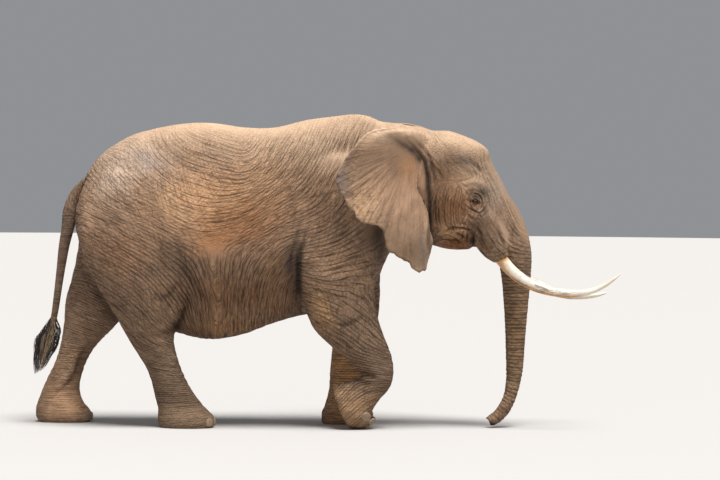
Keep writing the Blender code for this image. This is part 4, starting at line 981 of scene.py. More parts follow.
# x, z, half length, half height, how much the wrinkles fade there, how much crackle takes their place.
FADES = [
    (1.02, 2.22, 0.34, 0.12, 0.45, 0.85), (1.28, 1.62, 0.09, 0.15, 0.3, 0.3),
    (1.12, 1.98, 0.14, 0.08, 0.5, 0.4), (1.38, 1.85, 0.14, 0.24, 0.05, 0.55),
    (-0.88, 1.43, 0.13, 0.1, 0.45, 0.75), (-0.86, 1.12, 0.06, 0.32, 0.3, 0.4),
    (-0.6, 2.42, 1.3, 0.12, 0.55, 0.8), (0.97, 1.97, 0.16, 0.05, 0.25, 0.6),
    (1.18, 1.8, 0.07, 0.06, 0.6, 0.0), (1.0, 2.08, 0.16, 0.07, 0.2, 0.5), (0.42, 1.8, 0.09, 0.4, 0.7, 0.0),
    (0.765, 1.93, 0.045, 0.24, 0.95, 0.0), (-1.5, 2.12, 0.3, 0.2, 0.2, 0.45),
    (-2.12, 0.15, 0.3, 0.16, 0.4, 0.2), (-1.5, 1.4, 0.4, 0.45, -0.5, 0), (-1.22, 0.45, 0.3, 0.4, -0.45, 0),
    (-2.0, 0.75, 0.3, 0.45, -0.3, 0), (0.2, 0.6, 0.3, 0.5, -0.45, 0), (0.05, 1.35, 0.3, 0.3, -0.25, 0),
    (-0.95, 1.05, 0.35, 0.3, -0.3, 0), (1.5, 0.85, 0.2, 0.7, -0.35, 0), (-0.8, 1.85, 0.35, 0.16, -0.15, 0),
    (1.42, 1.55, 0.12, 0.14, 0.1, 0), (-0.1, 2.2, 0.3, 0.16, 0.3, 0.2), (-1.15, 0.1, 0.3, 0.1, 0.5, 0.2),
    (0.2, 0.12, 0.3, 0.1, 0.3, 0.2),
]
# x, z, half length, half height, how long and even the wrinkles are there.
EVENNESS = [
    (1.5, 0.75, 0.2, 0.75, 0.7), (0.97, 1.72, 0.17, 0.24, 0.4), (-1.45, 1.3, 0.35, 0.4, 0.65),
    (0.1, 1.4, 0.35, 0.3, 0.6), (0.25, 0.5, 0.3, 0.45, 0.75), (-0.3, 1.6, 0.3, 0.4, 0.4),
    (-1.1, 1.2, 0.18, 0.28, 0.85), (0.33, 0.45, 0.16, 0.22, 0.85), (-1.2, 0.28, 0.3, 0.12, 0.8),
    (-0.05, 2.1, 0.35, 0.3, 0.5), (-0.9, 1.95, 0.5, 0.35, 0.45), (-2.0, 0.8, 0.3, 0.5, 0.45),
]
# x, z, half length, half height, turn, colour, how much, side. Later patches lie over earlier ones.
# Besides the hide's own tones, several patches are painted shade, painted shadow or painted light.
BODY_TONES = [
    (-1.0, 2.05, 0.75, 0.40, 0, (0.44, 0.275, 0.167), 0.8, 0),  # upper flank
    (-0.74, 1.70, 0.44, 0.26, 12, (0.37, 0.172, 0.072), 0.95, 0),  # rusty flank
    (-0.52, 1.98, 0.24, 0.16, 30, (0.44, 0.26, 0.14), 0.85, 0),
    (-1.02, 1.84, 0.30, 0.17, 0, (0.62, 0.355, 0.187), 0.9, 0),
    (-1.22, 1.72, 0.20, 0.14, -20, (0.575, 0.34, 0.188), 0.8, 0),
    (-0.85, 1.49, 0.16, 0.09, 12, (0.36, 0.165, 0.07), 0.85, 0),
    (-0.60, 1.60, 0.10, 0.14, 40, (0.33, 0.155, 0.07), 0.7, 0),
    (-1.45, 2.15, 0.20, 0.13, -25, (0.40, 0.33, 0.288), 0.75, 0),  # grey hip
    # painted shadow under the hip bone, forward of the thigh
    (-1.38, 1.82, 0.06, 0.20, 22, (0.20, 0.125, 0.078), 0.55, 0),
    (-1.16, 1.34, 0.09, 0.28, 26, (0.17, 0.108, 0.068), 0.6, 0),
    (-1.68, 2.02, 0.16, 0.20, -35, (0.54, 0.40, 0.30), 0.8, 0),
    (-1.88, 1.62, 0.10, 0.30, 0, (0.48, 0.295, 0.18), 0.8, 0),  # behind the thigh
    (-1.60, 1.40, 0.24, 0.22, 0, (0.36, 0.197, 0.106), 0.85, 0),  # thigh
    (-1.40, 1.02, 0.20, 0.22, -20, (0.24, 0.148, 0.087), 0.8, 0),
    (-1.25, 0.50, 0.22, 0.24, 0, (0.305, 0.20, 0.122), 0.8, -1),
    (-1.12, 0.10, 0.26, 0.10, 0, (0.275, 0.182, 0.110), 0.9, -1),
    (-1.98, 0.65, 0.30, 0.42, 0, (0.58, 0.37, 0.235), 0.9, 1),
    (-1.82, 0.92, 0.14, 0.14, 0, (0.40, 0.25, 0.165), 0.6, 1),
    (-1.80, 1.00, 0.055, 0.28, 32, (0.12, 0.078, 0.052), 0.8, 1),  # painted shadow between the hind legs
    (-2.05, 0.25, 0.26, 0.26, 0, (0.76, 0.455, 0.262), 1.0, 1),  # far hind foot, lightened as painted light
    (-1.945, 0.46, 0.050, 0.20, -20, (0.36, 0.225, 0.14), 0.75, 1),  # painted shade in front of its tendon
    # painted light on its tendon
    (-2.085, 0.40, 0.050, 0.10, -25, (0.72, 0.49, 0.33), 0.7, 1),
    (-0.70, 1.05, 0.50, 0.20, 0, (0.22, 0.113, 0.056), 0.9, 0),  # belly, darkened as painted shade
    # painted warm bounce light under the belly
    (-0.80, 0.80, 0.40, 0.10, 0, (0.32, 0.174, 0.085), 0.8, 0),
    (-0.37, 1.25, 0.14, 0.30, 0, (0.285, 0.155, 0.083), 0.8, 0),
    (-0.10, 2.22, 0.22, 0.16, 0, (0.36, 0.245, 0.16), 0.8, 0),  # shoulder
    (-0.08, 1.95, 0.20, 0.16, 0, (0.31, 0.187, 0.107), 0.8, 0),
    (0.02, 1.70, 0.22, 0.16, 0, (0.25, 0.142, 0.081), 0.8, 0),
    (0.07, 1.30, 0.22, 0.20, 0, (0.55, 0.34, 0.203), 0.85, -1),
    (0.26, 0.70, 0.20, 0.20, 0, (0.30, 0.195, 0.119), 0.8, -1),
    (-0.02, 0.93, 0.08, 0.14, 20, (0.58, 0.34, 0.163), 0.85, -1),
    (0.20, 0.16, 0.26, 0.16, 0, (0.49, 0.298, 0.160), 0.9, -1),
    # painted light: the far foreleg, which stands in shadow, lightened
    (0.16, 0.50, 0.20, 0.50, 0, (0.84, 0.46, 0.215), 0.95, 1),
    # painted shadow beside the elbow
    (-0.27, 1.27, 0.06, 0.24, 4, (0.075, 0.05, 0.036), 0.75, -1),
    (-0.208, 1.20, 0.024, 0.27, 2, (0.012, 0.008, 0.006), 0.98, -1),  # painted shadow between elbow and belly
    # painted highlight on the ridge above the flank's fold
    (-1.207, 0.955, 0.013, 0.07, -15, (0.44, 0.30, 0.19), 0.8, -1),
    (-1.18, 0.80, 0.03, 0.04, 0, (0.04, 0.027, 0.02), 0.9, -1),  # painted shade in the flank's fold
    # painted shadow in the slit between the ear and the head
    (0.745, 1.93, 0.030, 0.22, 2, (0.27, 0.155, 0.09), 0.9, 0),
    (0.797, 1.95, 0.020, 0.17, 6, (0.02, 0.014, 0.010), 0.95, 0),
    (1.20, 2.05, 0.12, 0.08, -20, (0.32, 0.215, 0.14), 0.8, 0),
    (0.94, 1.93, 0.12, 0.07, 0, (0.29, 0.175, 0.105), 0.8, 0),
    # painted shade in the band running into the temple hollow
    (0.93, 2.09, 0.09, 0.040, 25, (0.14, 0.092, 0.062), 0.85, 0),
    (1.10, 2.14, 0.12, 0.042, -6, (0.12, 0.085, 0.062), 0.92, 0),  # temple, painted shade in its hollow
    (1.20, 2.00, 0.09, 0.050, -25, (0.40, 0.27, 0.17), 0.8, 0),
    (0.93, 2.00, 0.12, 0.12, 0, (0.148, 0.078, 0.039), 0.85, 0),
    # painted light where the ear's top corner meets the head, over its shade
    (0.80, 2.33, 0.16, 0.07, 0, (0.48, 0.33, 0.21), 0.9, 0),
    (1.00, 1.75, 0.16, 0.14, 0, (0.35, 0.165, 0.070), 0.9, 0),  # cheek
    (0.99, 1.575, 0.12, 0.06, -20, (0.72, 0.43, 0.225), 0.9, 0),
    (1.25, 1.63, 0.10, 0.10, 0, (0.108, 0.057, 0.027), 0.85, 0),
    (1.35, 1.90, 0.10, 0.22, -25, (0.29, 0.205, 0.146), 0.85, 0),  # front of the face
    (1.42, 1.55, 0.10, 0.14, 0, (0.33, 0.215, 0.138), 0.85, 0),
    (1.52, 0.80, 0.20, 0.50, 0, (0.35, 0.216, 0.113), 0.85, 0),  # trunk
    (1.43, 0.17, 0.14, 0.14, 0, (0.38, 0.23, 0.14), 0.9, 0),
    (1.03, 1.465, 0.16, 0.055, 0, (0.23, 0.078, 0.014), 0.95, 0),  # under the jaw
    (0.03, 2.165, 0.14, 0.06, 0, (0.24, 0.16, 0.103), 0.85, 0),
    (0.39, 1.55, 0.08, 0.10, 0, (0.045, 0.03, 0.022), 0.9, 0),  # in the ear's shade
    (0.43, 1.42, 0.04, 0.10, 0, (0.07, 0.045, 0.03), 0.85, 0),
    # painted shadow along the ear's front edge
    (0.82, 1.72, 0.025, 0.34, 2, (0.05, 0.03, 0.02), 0.9, 0),
    (1.24, 1.90, 0.06, 0.045, -30, (0.12, 0.092, 0.064), 0.85, 0),  # shaded brow
    # painted shade in the corner of the mouth
    (1.145, 1.50, 0.032, 0.022, -30, (0.07, 0.035, 0.024), 0.85, 0),
    (1.168, 1.49, 0.009, 0.06, -4, (0.02, 0.013, 0.01), 0.95, 0),  # painted shade in the slit at the corner of the mouth
    (1.335, 0.015, 0.034, 0.030, 0, (0.03, 0.02, 0.02), 0.95, 0),  # painted shade in the trunk's opening
    # painted shade under the brow
    (1.174, 1.862, 0.060, 0.020, -8, (0.13, 0.095, 0.062), 0.7, 0),
    # painted highlight on the ridge beside the mouth's slit
    (1.198, 1.50, 0.012, 0.07, 4, (0.34, 0.22, 0.13), 0.8, 0),
    (1.10, 2.27, 0.20, 0.06, -10, (0.44, 0.30, 0.19), 0.8, 0),  # forehead
    (-2.10, 1.60, 0.10, 0.45, 0, (0.26, 0.165, 0.115), 0.8, 0),
]
EAR_TONES = [
    (0.55, 1.90, 0.40, 0.30, 0, (0.27, 0.164, 0.101), 0.95, 0),
    (0.27, 1.83, 0.14, 0.25, 0, (0.48, 0.30, 0.175), 0.9, 0),
    (0.13, 1.95, 0.06, 0.25, 0, (0.23, 0.16, 0.12), 0.8, 0),
    (0.64, 2.08, 0.07, 0.12, 0, (0.38, 0.20, 0.10), 0.8, 0),
    (0.68, 1.40, 0.26, 0.18, 0, (0.147, 0.090, 0.052), 0.95, 0),
    # painted shade along the ear's lower front edge
    (0.76, 1.42, 0.06, 0.16, 0, (0.105, 0.073, 0.053), 0.8, 0),
    (0.48, 2.39, 0.32, 0.085, 0, (0.60, 0.42, 0.285), 0.95, 0),
    # painted light where the ear's top corner meets the head, over its shade
    (0.80, 2.33, 0.16, 0.07, 0, (0.48, 0.33, 0.21), 0.9, 0),
    (0.10, 2.00, 0.035, 0.10, 0, (0.19, 0.145, 0.12), 0.8, 0),
    # painted shade in the fold where the ear's top meets the head, and along its front edge
    (0.59, 2.262, 0.085, 0.024, -26, (0.12, 0.085, 0.068), 0.85, 0),
    (0.68, 2.210, 0.065, 0.024, -42, (0.05, 0.035, 0.029), 0.95, 0),
    (0.74, 2.145, 0.050, 0.026, -54, (0.025, 0.018, 0.015), 0.97, 0),
    (0.782, 2.07, 0.028, 0.045, 0, (0.015, 0.01, 0.008), 0.95, 0),
    (0.80, 1.95, 0.014, 0.12, 6, (0.04, 0.028, 0.02), 0.85, 0),
    (0.822, 1.70, 0.012, 0.25, 0, (0.06, 0.04, 0.028), 0.85, 0),
    (0.838, 1.38, 0.020, 0.12, -4, (0.05, 0.035, 0.026), 0.9, 0),
]


def cheek_edge(point):
    """Metres outside the cheek's rounded patch, below 0 in it, seen from the side with a wandering rim. In it
    the wrinkles run upright, whatever they do around it."""
    wander = 0.05 * drift(point, 0.11, 51)[:, [0, 2]]
    away = np.abs(point[:, [0, 2]] + wander - np.array(CHEEK[:2])) / np.array(CHEEK[2:])
    return ((away**3).sum(axis=1) ** (1 / 3) - 1) * min(CHEEK[2:])


def faded(point):
    """How much the wrinkles fade at each vertex, below 0 where they're stronger, and how much crackle is
    there: the sum and the most of the bells seen from the side."""
    plain, crackled = np.zeros(len(point)), np.zeros(len(point))
    for x, z, wide, high, fade, cells in FADES:
        shape = bell(point, x, z, wide, high)
        plain, crackled = plain + fade * shape, np.maximum(crackled, cells * shape)
    return np.clip(plain, -0.7, 0.95), crackled


def tones(point, out, on_ear):
    """A colour for each vertex: the patches as bell shapes seen from the side, with wandering rims, several
    of them painted shade, painted shadow or painted light, and dust on what faces up."""
    colour = np.tile(np.array(HIDE_COLOUR), (len(point), 1))
    wander = 0.05 * drift(point, 0.12, 41)
    wander += 0.03 * drift(point, 0.05, 43)
    for patches, here in ((BODY_TONES, 1 - on_ear), (EAR_TONES, on_ear)):
        for x, z, wide, high, turn, patch, amount, side in patches:
            shape = bell(point + min(1, 6 * min(wide, high)) * wander, x, z, wide, high, turn)
            share = amount * (shape * on_side(point, side) * here)
            colour += share[:, None] * (np.array(patch) - colour)
    dusty = blend(0.10, 0.95, out[:, 2] + 0.08 * noise(point, 0.12, 45)) * blend(1.95, 2.35, point[:, 2])
    return colour + dusty[:, None] * (np.array(DUST) - colour)


def hide_marks(mesh, part, depth, cavity):
    """Four numbers for each vertex: how far it is sunk in a fold, eye crease or hollow, which sets the
    painted shade there, how crackled the skin is, how plain, and how even its wrinkles are. Also how much it
    is ear, blurred, which the colours use."""
    near = Neighbours(mesh)
    point, out = places(mesh), normals(mesh)
    body = part == BODY
    top = blend(0.3, 0.8, out[:, 2]) * blend(1.9, 2.15, point[:, 2]) * body
    ahead = blend(0.45, 0.85, out[:, 0]) * blend(1.40, 1.55, point[:, 2]) * body
    plain, crackled = faded(point)
    plain = np.maximum.reduce([plain, 0.45 * hump(cheek_edge(point), 0, 0.012), 0.6 * ahead])
    crackled = np.maximum.reduce([crackled, 0.75 * top, 0.8 * ahead])
    veined = blend(0.30, 0.55, flat_distance(point, EAR_HUB)) * (1 - blend(0.30, 0.60, point[:, 0]))
    plain = np.where(part == EAR, 0.82 - 0.50 * veined, plain)
    crackled = np.where(part == EAR, 0.15, crackled)
    on_ear = (part == EAR).astype(float)
    plain = np.where(np.abs(near.mean(on_ear) - on_ear) > 0.01, 1, plain)
    for _ in range(8):
        on_ear = 0.5 * on_ear + 0.5 * near.mean(on_ear)
    even = 0.2 * (1 - top)
    for x, z, wide, high, amount in EVENNESS:
        even = np.maximum(even, amount * bell(point, x, z, wide, high, power=4))
    # painted shade in folds, eye creases and hollows
    sunk = np.clip(np.maximum(depth, blend(0.25, 0.9, cavity)), 0, 1)
    return np.stack([sunk, crackled, plain, even], axis=1), on_ear


# ---------------------------------------------------------------- shader groups
class Wiring:
    """Short calls for adding and joining the nodes of one tree."""

    def __init__(self, tree):
        self.tree = tree

    def node(self, kind, **settings):
        made = self.tree.nodes.new("ShaderNode" + kind)
        for name, value in settings.items():
            setattr(made, name, value)
        return made

    def plug(self, target, value):
        if isinstance(value, bpy.types.NodeSocket):
            self.tree.links.new(value, target)
        else:
            target.default_value = value

    def filled(self, node, values):
        """The node, with its first inputs, or those of the names given, filled."""
        for target, value in values.items() if isinstance(values, dict) else enumerate(values):
            self.plug(node.inputs[target], value)
        return node

    def math(self, operation, *values):
        return self.filled(self.node("Math", operation=operation), values).outputs[0]

    def times(self, first, second):
        return self.math("MULTIPLY", first, second)

    def fitted(self, value, scale, start):
        """The value times a scale, counted from a start."""
        return self.math("MULTIPLY_ADD", value, scale, start)

    def mix(self, share, first, second, blend_type="MIX"):
        made = self.node("Mix", data_type="RGBA", blend_type=blend_type)
        return self.filled(made, {0: share, 6: first, 7: second}).outputs[2]

    def between(self, share, first, second):
        """The number that lies a share of the way from the first to the second."""
        return self.filled(self.node("Mix", data_type="FLOAT"), {0: share, 2: first, 3: second}).outputs[0]

    def tinted(self, colour, tint):
        return self.mix(1.0, colour, (*tint, 1), "MULTIPLY")

    def step(self, low, high, value):
        """0 at low, 1 at high and a smooth step between."""
        made = self.node("MapRange", interpolation_type="SMOOTHSTEP")
        return self.filled(made, {"From Min": low, "From Max": high, "Value": value}).outputs["Result"]

    def choice(self, low, high, value, first, second):
        """The first colour where the value is low and the second where it is high."""
        return self.mix(self.step(low, high, value), (*first, 1), (*second, 1))

    def noise(self, vector, scale, detail=2.0, roughness=0.5, level=None):
        made = self.node("TexNoise", noise_dimensions="3D" if level is None else "4D")
        given = {"Vector": vector, "Scale": scale, "Detail": detail, "Roughness": roughness}
        return self.filled(made, given if level is None else {**given, "W": level}).outputs["Fac"]

    def scaled(self, vector, scale):
        return self.filled(self.node("Mapping"), {"Vector": vector, "Scale": scale}).outputs[0]

    def group(self, group, **values):
        made = self.node("Group", node_tree=group)
        return self.filled(made, {name.capitalize(): value for name, value in values.items()}).outputs

    def attribute(self, name, output="Fac"):
        return self.node("Attribute", attribute_name=name).outputs[output]

    def place(self):
        return self.node("TexCoord").outputs["Object"]

    def bump(self, height, distance, strength=1.0):
        given = {"Strength": strength, "Distance": distance, "Height": height}
        return self.filled(self.node("Bump"), given).outputs[0]


def new_group(name, given, results):
    """(group, wiring, its inputs, its outputs) of an empty group with those sockets."""
    group = bpy.data.node_groups.new(name, "ShaderNodeTree")
    for label, kind, default in given:
        made = group.interface.new_socket(name=label, in_out="INPUT", socket_type="NodeSocket" + kind)
        if default is not None:
            made.default_value = default
    for label in results:
        group.interface.new_socket(name=label, in_out="OUTPUT", socket_type="NodeSocketFloat")
    ends = group.nodes.new("NodeGroupInput").outputs, group.nodes.new("NodeGroupOutput").inputs
    return group, Wiring(group), *ends


def wrinkle_group():
    """Creases that follow the lines along which a number is whole: the number is shifted by noise that
    changes slowly along the lines, the sine of it is folded, and each crease deepens and fades along its
    way."""
    group, wire, given, result = new_group(
        "Wrinkles",
        [("Place", "Vector", None), ("Count", "Float", None), ("Length", "Float", 0.2), ("Even", "Float", 0)],
        ["Height", "Valley"],
    )
    place, count, even = given["Place"], given["Count"], given["Even"]
    often = wire.math("DIVIDE", 1.0, given["Length"])
    sway = wire.noise(place, often, 1.0, level=wire.times(count, 0.31))
    shake = wire.noise(place, wire.times(often, 5.0), level=wire.times(count, 0.9))
    fade = wire.noise(place, wire.times(often, 1.7), 1.0, level=wire.fitted(count, 0.83, 7.0))
    loose = wire.fitted(even, -1.3, 2.4)
    shifted = wire.math("ADD", wire.times(sway, loose), wire.fitted(shake, 0.9, count))
    folded = wire.math("ABSOLUTE", wire.math("SINE", wire.times(shifted, np.pi)))
    dip = wire.math("POWER", wire.math("SUBTRACT", 1.0, folded), 1.4)
    deep = wire.fitted(wire.step(0.38, 0.60, fade), 0.75, 0.25)
    dip = wire.times(dip, wire.math("MAXIMUM", deep, even))
    wire.plug(result["Height"], wire.math("SUBTRACT", 1.0, dip))
    wire.plug(result["Valley"], wire.step(0.18, 0.75, dip))
    return group


def crackle_group():
    """Polygons of dry skin: the distance to the edge of scattered cells, at two sizes."""
    group, wire, given, result = new_group(
        "Crackle", [("Place", "Vector", None), ("Size", "Float", 0.02)], ["Height"])
    bent = wire.filled(wire.node("TexNoise"), {"Vector": given["Place"], "Scale": 18.0}).outputs["Color"]
    shift = wire.filled(wire.node("VectorMath", operation="SCALE"), {0: bent, "Scale": 0.03}).outputs[0]
    place = wire.filled(wire.node("VectorMath", operation="ADD"), (given["Place"], shift)).outputs[0]
    coarse, fine = (
        wire.step(0.0, 0.22, wire.filled(
            wire.node("TexVoronoi", feature="DISTANCE_TO_EDGE"),
            {"Vector": place, "Scale": wire.math("DIVIDE", factor, given["Size"])},
        ).outputs["Distance"])
        for factor in (1.0, 2.3)
    )
    wire.plug(result["Height"], wire.fitted(fine, 0.35, wire.times(coarse, 0.65)))
    return group


GROUPS = {"wrinkles": wrinkle_group, "crackle": crackle_group}


def group_named(name):
    """The shared group, built the first time that it is asked for."""
    key = "elephant " + name
    if key not in bpy.data.node_groups:
        GROUPS[name]().name = key
    return bpy.data.node_groups[key]


def new_material(name, settings):
    """(material, its Principled shader, wiring), with the settings on the shader's own sockets."""
    material = bpy.data.materials.new(name)
    material.use_nodes = True
    shader = material.node_tree.nodes["Principled BSDF"]
    for label, value in settings.items():
        shader.inputs[label].default_value = value
    return material, shader, Wiring(material.node_tree)


def hide_material(sizes):
    """Dry wrinkled hide: the vertex tone, mottled, with painted shade in creases, folds and hollows and with
    ridges lightened as dust and painted highlight; two families of wrinkles in their run, finer ones between
    them, crackle and fine grain as bump."""
    material, shader, wire = new_material("hide", {"Roughness": 0.85, "Specular IOR Level": 0.25})
    place = wire.place()
    tone, even = wire.attribute("tone", "Color"), wire.attribute("marks", "Alpha")
    marks = wire.filled(wire.node("SeparateColor"), [wire.attribute("marks", "Color")])
    sunk, crackled, plain = marks.outputs
    run = wire.filled(wire.node("SeparateXYZ"), [wire.attribute("run", "Vector")])
    line, cross = run.outputs[:2]
    length, slant = sizes.wrinkle_length, wire.times(line, 0.7)
    # A family of wrinkles: its count, its length, how even it is, and its shares of the bump and of the dark.
    families = (
        (line, length, even, 0.52, 0.95),
        (wire.times(line, 1.9), length * 0.4, 0.0, 0.16, 0.45),
        (wire.fitted(cross, 0.55, slant), length * 0.5, 0.0, 0.21, 0.68),
        (wire.fitted(cross, -0.62, slant), length * 0.5, 0.0, 0.17, 0.60),
    )
    lines, valley = 0.0, 0.0
    for count, long, steady, share, dark in families:
        family = wire.group(group_named("wrinkles"), place=place, count=count, length=long, even=steady)
        lines = wire.fitted(family["Height"], share, lines)
        valley = wire.math("MAXIMUM", wire.times(family["Valley"], dark), valley)
    crackle = wire.group(group_named("crackle"), place=place, size=sizes.crackle_size)["Height"]
    grain = wire.noise(place, 160.0, 3.0, 0.6)
    mottle = wire.noise(place, 9.0, 5.0, 0.6)
    height = wire.between(crackled, lines, wire.fitted(crackle, 0.40, 0.60))
    shown = wire.math("SUBTRACT", 1.0, plain)
    relief = wire.times(wire.fitted(grain, 0.10, height), shown)
    wire.plug(shader.inputs["Normal"], wire.bump(relief, sizes.bump_depth))
    edges = wire.times(wire.math("SUBTRACT", 1.0, wire.step(0.10, 0.55, crackle)), 0.20)
    dark = wire.times(wire.times(wire.between(crackled, valley, edges), shown), sizes.crease_shade)
    shaded, lit = wire.tinted(tone, (0.86, 0.845, 0.835)), wire.tinted(tone, (1.14, 1.14, 1.14))
    mottled = wire.mix(wire.step(0.30, 0.72, mottle), shaded, lit)
    colour = wire.mix(wire.times(crackled, 0.7), mottled, tone)
    # ridges lightened as dust and as painted highlight
    ridge = wire.times(wire.step(0.70, 0.97, height), wire.step(0.35, 0.65, grain))
    ridge = wire.times(ridge, wire.fitted(crackled, -0.8, 1.0))
    colour = wire.mix(wire.times(ridge, 0.65), colour, wire.tinted(tone, (1.40, 1.40, 1.40)))
    # painted shade in the valleys of the wrinkles
    colour = wire.mix(dark, colour, wire.tinted(colour, (0.21, 0.185, 0.175)))
    # painted shade in folds, hollows and the creases round the eyes
    colour = wire.mix(wire.times(sunk, 0.9), colour, wire.tinted(colour, (0.20, 0.17, 0.16)))
    wire.plug(shader.inputs["Base Color"], colour)
    wire.plug(shader.inputs["Roughness"], wire.fitted(height, 0.12, 0.76))
    return material


def ivory_material():
    """Polished ivory: cream, browner where a vertex mask says, near the lip and along the underside, with
    fine lengthwise scratches, hairline cracks and dark flakes where another mask says that it is worn."""
    material, shader, wire = new_material("ivory", {"Roughness": 0.35})
    place, along = wire.place(), wire.attribute("along", "Vector")
    scratch = wire.noise(wire.scaled(along, (6.0, 260.0, 260.0)), 1.0, 3.0, 0.65)
    flake = wire.noise(wire.scaled(along, (11.0, 75.0, 75.0)), 1.0, 4.0, 0.7)
    cloud = wire.noise(place, 14.0, 4.0, 0.6)
    cream = wire.choice(0.35, 0.68, cloud, (0.70, 0.63, 0.53), (0.60, 0.52, 0.40))
    brown = wire.choice(0.40, 0.62, scratch, (0.48, 0.22, 0.075), (0.66, 0.40, 0.19))
    edge = wire.math("ADD", wire.attribute("browning"), wire.times(wire.math("SUBTRACT", cloud, 0.5), 0.9))
    colour = wire.mix(wire.step(0.22, 0.62, edge), cream, brown)
    cracks = wire.math("LESS_THAN", scratch, wire.fitted(cloud, 0.16, 0.22))
    cracks = wire.math("MAXIMUM", cracks, wire.times(wire.step(0.50, 0.57, flake), wire.attribute("worn")))
    colour = wire.mix(wire.times(cracks, 0.75), colour, (0.15, 0.105, 0.07, 1))
    wire.plug(shader.inputs["Base Color"], colour)
    wire.plug(shader.inputs["Roughness"], wire.fitted(scratch, 0.35, 0.20))
    wire.plug(shader.inputs["Normal"], wire.bump(scratch, 0.0015, 0.5))
    return material


def eye_material():
    """Dark brown eye: pupil, amber-brown iris with radial threads and a nearly black rim, by the angle from
    the gaze that a vertex number gives, under a wet gloss."""
    gloss = {"Roughness": 0.25, "Coat Weight": 0.08, "Coat Roughness": 0.15, "Specular IOR Level": 0.25}
    material, shader, wire = new_material("eye", gloss)
    angle = wire.attribute("gaze")
    threads = wire.noise(wire.attribute("spoke", "Vector"), 9.0)
    iris = wire.choice(0.35, 0.65, threads, (0.035, 0.016, 0.009), (0.075, 0.034, 0.016))
    colour = wire.mix(wire.step(0.26, 0.32, angle), (0.004, 0.003, 0.003, 1), iris)
    colour = wire.mix(wire.step(0.56, 0.68, angle), colour, (0.020, 0.010, 0.006, 1))
    colour = wire.mix(wire.step(0.80, 1.10, angle), colour, (0.07, 0.035, 0.028, 1))
    wire.plug(shader.inputs["Base Color"], colour)
    return material


def nail_material():
    """Toenail: dull horn with upright ridges, browner to the cuticle, and soil rubbed into the sole's
    edge."""
    material, shader, wire = new_material("nail", {"Roughness": 0.6})
    height = wire.attribute("up")
    lines = wire.noise(wire.scaled(wire.place(), (180.0, 180.0, 22.0)), 1.0)
    horn = wire.choice(0.35, 0.65, lines, (0.20, 0.135, 0.088), (0.27, 0.19, 0.125))
    colour = wire.mix(wire.step(0.55, 0.95, height), horn, (0.24, 0.155, 0.10, 1))
    colour = wire.mix(wire.step(-0.4, -0.9, height), colour, (0.34, 0.22, 0.14, 1))
    wire.plug(shader.inputs["Base Color"], colour)
    wire.plug(shader.inputs["Normal"], wire.bump(lines, 0.002))
    return material


def hair_material():
    """Wiry hair: black, with dusty brown strands among it, by a number that each strand carries; the pale
    ones gather where the tuft faces sideways, partly as painted highlight.
    """
    material, shader, wire = new_material("hair", {"Roughness": 0.45})
    shade = wire.attribute("shade")
    colour = wire.choice(0.55, 0.95, shade, (0.020, 0.015, 0.012), (0.36, 0.25, 0.155))
    wire.plug(shader.inputs["Base Color"], colour)
    wire.plug(shader.inputs["Roughness"], wire.fitted(shade, 0.3, 0.4))
    return material


# ---------------------------------------------------------------- attributes and objects
def write_attribute(mesh, name, kind, values):
    """Stores an array on the mesh's vertices, as a number, a vector or a colour."""
    attribute = mesh.attributes.new(name, kind, "POINT")
    key = {"FLOAT": "value", "FLOAT_VECTOR": "vector", "FLOAT_COLOR": "color"}[kind]
    attribute.data.foreach_set(key, np.ascontiguousarray(values, np.float32).ravel())


def place_piece(name, mesh, material, nodes):
    """A finished piece at the origin that rides on the still body and stands for those solids."""
    mesh.materials.clear()
    mesh.materials.append(material)
    mesh.shade_smooth()
    piece = linked(name, mesh)
    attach(piece, "root")
    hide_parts(*nodes)
    return piece


# ---------------------------------------------------------------- eyeballs, tusks, toenails and hair
TUSK_LENGTH, TUSK_RADIUS = 1.4, 0.03  # of the straight tusk that its pattern is drawn on
NAIL_SIZE = np.array([0.013, 0.040, 0.036])  # half its depth, width and height
NAIL_SINK = 0.972  # the nail's middle, as a share of the foot's radius
STRAND_PATCH = 0.003  # how wide a strand's patch is on the unwrap
HAIR_STEPS, HAIR_SIDES, LASH_STEPS, LASH_SIDES = 14, 5, 8, 4  # points along a strand and round it


def eyeball(side):
    """(mesh, angle from the gaze, direction) of one eyeball: a ball whose pole looks out, swelling a little
    over the iris like a cornea."""
    middle, forward, up, out = eye_axes(side)
    polar = np.linspace(0.0, np.pi, 29)[1:-1, None]
    turn = np.linspace(0, 2 * np.pi, 48, endpoint=False)[None, :]
    radius = BALL * (1 + 0.05 * np.exp(-((polar / 0.55) ** 2)))
    flat = (np.cos(turn)[..., None] * forward + np.sin(turn)[..., None] * up) * np.sin(polar)[..., None]
    rings = middle + radius[..., None] * (flat + np.cos(polar)[..., None] * out)
    points, faces = capped(rings)
    points[-2:] = middle + out * np.array([[BALL * 1.05], [-BALL]])
    mesh = facing_out(mesh_of("eyeball", points, faces))
    ray = (points - middle) / np.linalg.norm(points - middle, axis=1, keepdims=True)
    return mesh, np.arccos(np.clip(ray @ out, -1, 1)), ray


